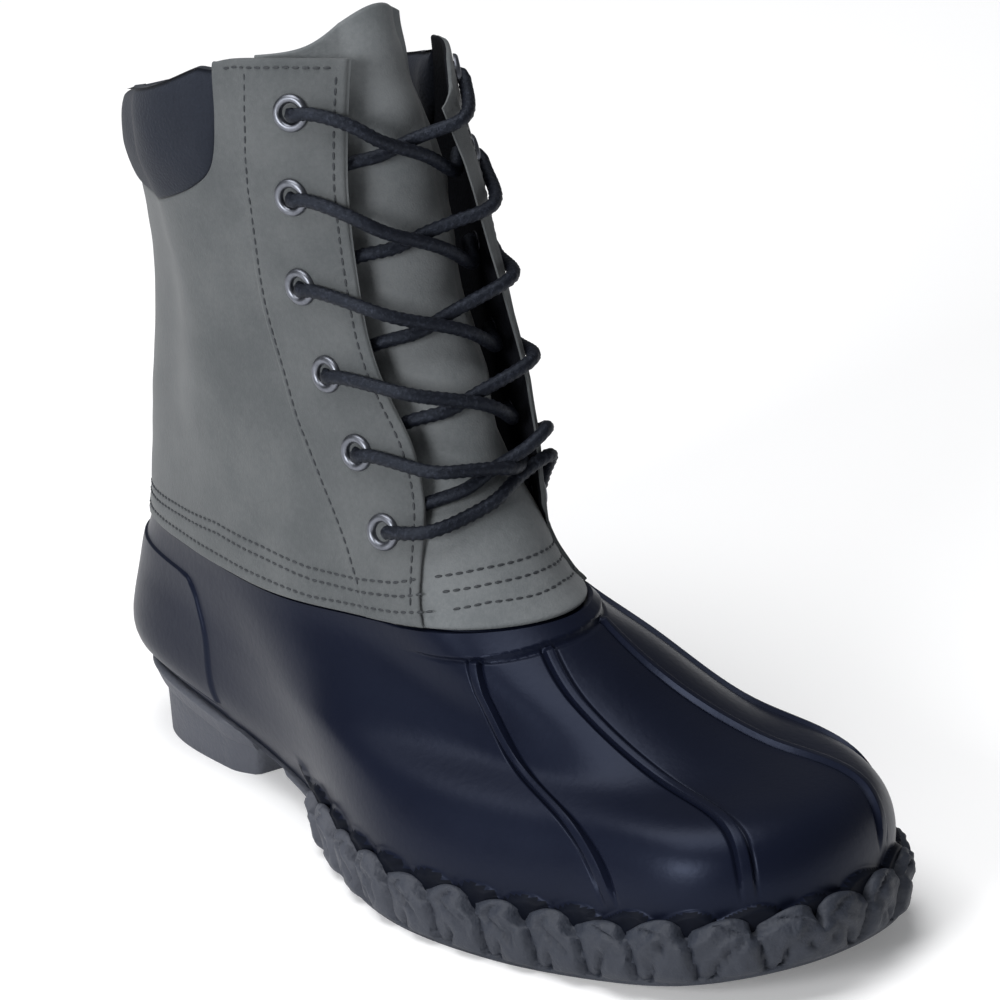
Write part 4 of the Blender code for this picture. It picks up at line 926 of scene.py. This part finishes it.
# The profile, as radius and height: the barrel inside, the flange on the leather and the rolled top
swing = np.linspace(0, np.pi, 13)
ring = np.concatenate([np.array([(.0028, -.0024), (.0034, -.0024), (.0034, .0002), (.0056, .0002)]),
                       np.stack([.0043 + .0013 * np.cos(swing), .0003 + .0013 * np.sin(swing)], -1),
                       np.array([(.0028, -.0002)])])
rings = []
for s in (1, -1):
    for eyelet in EYELETS:
        rings.append(turned_ring(ring, *eyelet_place(eyelet, s)))
nickel, spot, feed = new_finish("dark_nickel", .32, metallic=1.0)
wear = spot.noise(.002, 3)
feed(Base_Color=wear.mix((.085, .090, .105), (.20, .21, .24)), Roughness=.28 + .2 * wear)
eyelets = piece("eyelet_rings", *join_rows(rings), [nickel], "eyelet_metal")
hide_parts(*["eyelet_%s_%d" % (s, n) for s in ("lateral", "medial") for n in range(1, 7)])


# Lace
# One round braided cord about 4 mm thick, black with fine grey flecks. It crosses five times over the
# tongue, the strand to the outer eyelet always on top, and its ends stop inside the top eyelets.
LACE_RADIUS, BRAID = .0020, .0026     # the braid's pattern comes back after this length
# t where the strands cross the inner flap's edge, top to bottom: over it on their way in, and under it
INNER_OVER = (8.36, 7.67, 7.07, 6.37, 5.90)
INNER_UNDER = (7.91, 7.22, 6.52, 5.97, 5.72)
# The lowest bar: shares of the way from its middle to the outer eyelet, and t over the eyelets
BAR = ((-1, 0), (-.82, .14), (-.66, .22), (-.30, .17), (0, .11), (.30, .05), (.60, 0), (.80, 0), (1, 0))


def strand(n, s):
    """Rows of psi, t and height: from under one flap, over the tongue and the other, and into its eyelet."""
    lower, upper = EYELETS[n + 1], EYELETS[n]
    gap = upper.t - lower.t
    t_low, t_high = (INNER_UNDER[n], lower.t + .76 * gap) if s > 0 else (lower.t + .28 * gap, INNER_OVER[n])
    middle_t = .5 * (t_low + t_high)
    low_edge, high_edge = flap_psi(t_low), flap_psi(t_high)
    seat = LACE_RADIUS + .0002
    lift = 1.9 * LACE_RADIUS if s > 0 else 0.0
    crown = tongue_off(0.0, middle_t) + seat + lift
    under_psi = -s * (low_edge + .006)
    under = .5 * (tongue_off(under_psi, t_low) + flare(under_psi, t_low) + LEATHER_PROUD - LEATHER_WALL)
    across_psi = -s * .45 * low_edge
    across_t = .5 * (t_low + middle_t)
    edge_psi = s * high_edge
    end_psi, end_t = s * (upper.psi - .010), upper.t - (.01 if s > 0 else .10)
    return [
        (-s * (lower.psi - .004), lower.t + .02, under - .0008),
        (under_psi, t_low, under),
        (across_psi, across_t, tongue_off(across_psi, across_t) + seat + .5 * lift + .0010),
        (0.0, middle_t, crown),
        (s * .55 * high_edge, .5 * (middle_t + t_high),
         .5 * (crown + leather_relief(edge_psi, t_high) + seat) + .0010),
        (edge_psi - s * .004, t_high, leather_relief(edge_psi, t_high) + seat + .0006),
        (end_psi, end_t, leather_relief(end_psi, end_t) + seat),
        (s * (upper.psi - .002), upper.t - .02, leather_relief(s * upper.psi, upper.t) + .0016),
        (s * (upper.psi + .001), upper.t + .01, leather_relief(s * upper.psi, upper.t) - .0026),
    ]


def lace_rows():
    """Rows of the lace's three parts: both halves, from their ends at the top eyelets down, and the bar."""
    low = EYELETS[-1]
    halves = []
    for start in (1, -1):
        rows, s = [], start
        for n in range(len(EYELETS) - 1):
            rows += strand(n, s)[::-1]
            s = -s
        halves.append(rows + [(s * (low.psi + .001), low.t, .5 * tongue_off(s * low.psi, low.t))])
    bar = []
    for share, lift in BAR:
        at, t = share * low.psi, low.t + lift
        on_flap = np.abs(at) > .75 * flap_psi(t)
        face = leather_relief(at if on_flap else np.sign(at + 1e-9) * flap_psi(t), t)
        off = face + LACE_RADIUS + .0006 if on_flap else tongue_off(at, t) + LACE_RADIUS + .0009
        bar.append((at, t, face + .0008 if abs(share) == 1 else off))
    return halves[0], bar, halves[1]


def carry(way, direction):
    """The next ring's first way: the last one's, less its part along the line, so that no ring twists."""
    way = way - direction * (way @ direction)
    return way / np.linalg.norm(way)


def cord_tube(rows, step=.0005, sides=14):
    """A round tube along the smooth cubic through rows on the last, with the braid's soft crossing ridges.

    Each ring stands square to the line: the radius times the cosine of the angle along its first way, and
    the sine aside. The radius swells by a sine along the line times a cosine of four times the angle, and
    ends drawn in.
    """
    p = on_last(*np.array(rows, float).T)
    run = np.concatenate([[0], np.cumsum(np.sqrt(np.linalg.norm(np.diff(p, axis=0), axis=1)))])
    dense = spline_weights(run, np.linspace(0, run[-1], 4000)) @ p
    length = np.concatenate([[0], np.cumsum(np.linalg.norm(np.diff(dense, axis=0), axis=1))])
    at = np.arange(0, length[-1], step)
    path = np.stack([np.interp(at, length, dense[:, k]) for k in range(3)], -1)
    ahead = np.gradient(path, axis=0)
    ahead /= np.linalg.norm(ahead, axis=1, keepdims=True)
    ways = np.array(list(accumulate(ahead, carry, initial=np.array([1.0, 0, 0])))[1:])
    aside = np.cross(ahead, ways)
    angle = np.arange(sides) * 2 * np.pi / sides
    around = ways[:, None] * np.cos(angle)[:, None] + aside[:, None] * np.sin(angle)[:, None]
    at = at[:, None]
    swell = 1 + .09 * np.sin(at * 2 * np.pi / BRAID) * np.cos(4 * angle)
    thin = np.minimum(1, np.minimum(at + .0004, at[-1] - at + .0004) / .0015)
    points = path[:, None] + around * (LACE_RADIUS * swell * thin)[..., None]
    return points.reshape(-1, 3), skin_faces(len(path), sides, True)[:, ::-1]


lace_finish, spot, feed = new_finish("lace_braid", .55, specular=.30, tint=(.7, .8, 1))
flecks = spot.noise(.0012, 2, .7).step(.52, .66)
fibres = spot.noise(.0004, 1)
feed(Base_Color=(flecks * .5).mix((.0016, .0020, .0042), (.022, .025, .036)), Normal=fibres.bump(.00018))
lace = piece("lace", *join_rows([cord_tube(rows) for rows in lace_rows()]), [lace_finish], "lace_cord")
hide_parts("lace_bar", *["lace_crossing_%d" % n for n in range(1, 6)])


# Floor and light
# A pale seamless floor under a large soft light overhead, with a low one at the front, a weak one at the
# outer side and a dim white room.
floor_mesh = bpy.data.meshes.new("floor")
floor_mesh.from_pydata([(-6, -6, 0), (6, -6, 0), (6, 6, 0), (-6, 6, 0)], [], [(0, 1, 2, 3)])
floor = bpy.data.objects.new("floor", floor_mesh)
bpy.context.collection.objects.link(floor)
floor_finish, spot, feed = new_finish("pale_floor", .7, specular=.1)
feed(Base_Color=spot.noise(.8, 2).mix((.86, .86, .865), (.88, .88, .885)))
floor_shader = floor_finish.node_tree.nodes["Principled BSDF"]
floor_shader.inputs["Emission Color"].default_value = (1, 1, 1, 1)
floor_shader.inputs["Emission Strength"].default_value = .17
floor_mesh.materials.append(floor_finish)


def soft_light(name, place_at, look_at, width, depth, power, colour=(1, 1, 1)):
    """A rectangular lamp turned to face a point."""
    lamp = bpy.data.lights.new(name, "AREA")
    lamp.shape = "RECTANGLE"
    lamp.size, lamp.size_y = width, depth
    lamp.energy = power
    lamp.color = colour
    thing = bpy.data.objects.new(name, lamp)
    direction = Vector(look_at) - Vector(place_at)
    turn = direction.to_track_quat("-Z", "Y").to_matrix().to_4x4()
    thing.matrix_world = Matrix.Translation(place_at) @ turn
    bpy.context.collection.objects.link(thing)


soft_light("overhead", (-.3, -.7, 3.0), (0, 0, .1), 2.4, 2.4, 96)
soft_light("front", (.62, -1.66, .70), (0, 0, .1), .7, .55, 25)
soft_light("outer_side", (-.3, -1.8, 1.1), (0, 0, .12), .9, 1.2, 2.5, (.93, .97, 1))
world = bpy.data.worlds.new("room")
bpy.context.scene.world = world
world.use_nodes = True
world.node_tree.nodes["Background"].inputs[0].default_value = (.95, .97, 1, 1)
world.node_tree.nodes["Background"].inputs[1].default_value = .15
bpy.context.scene.view_settings.view_transform = "Standard"
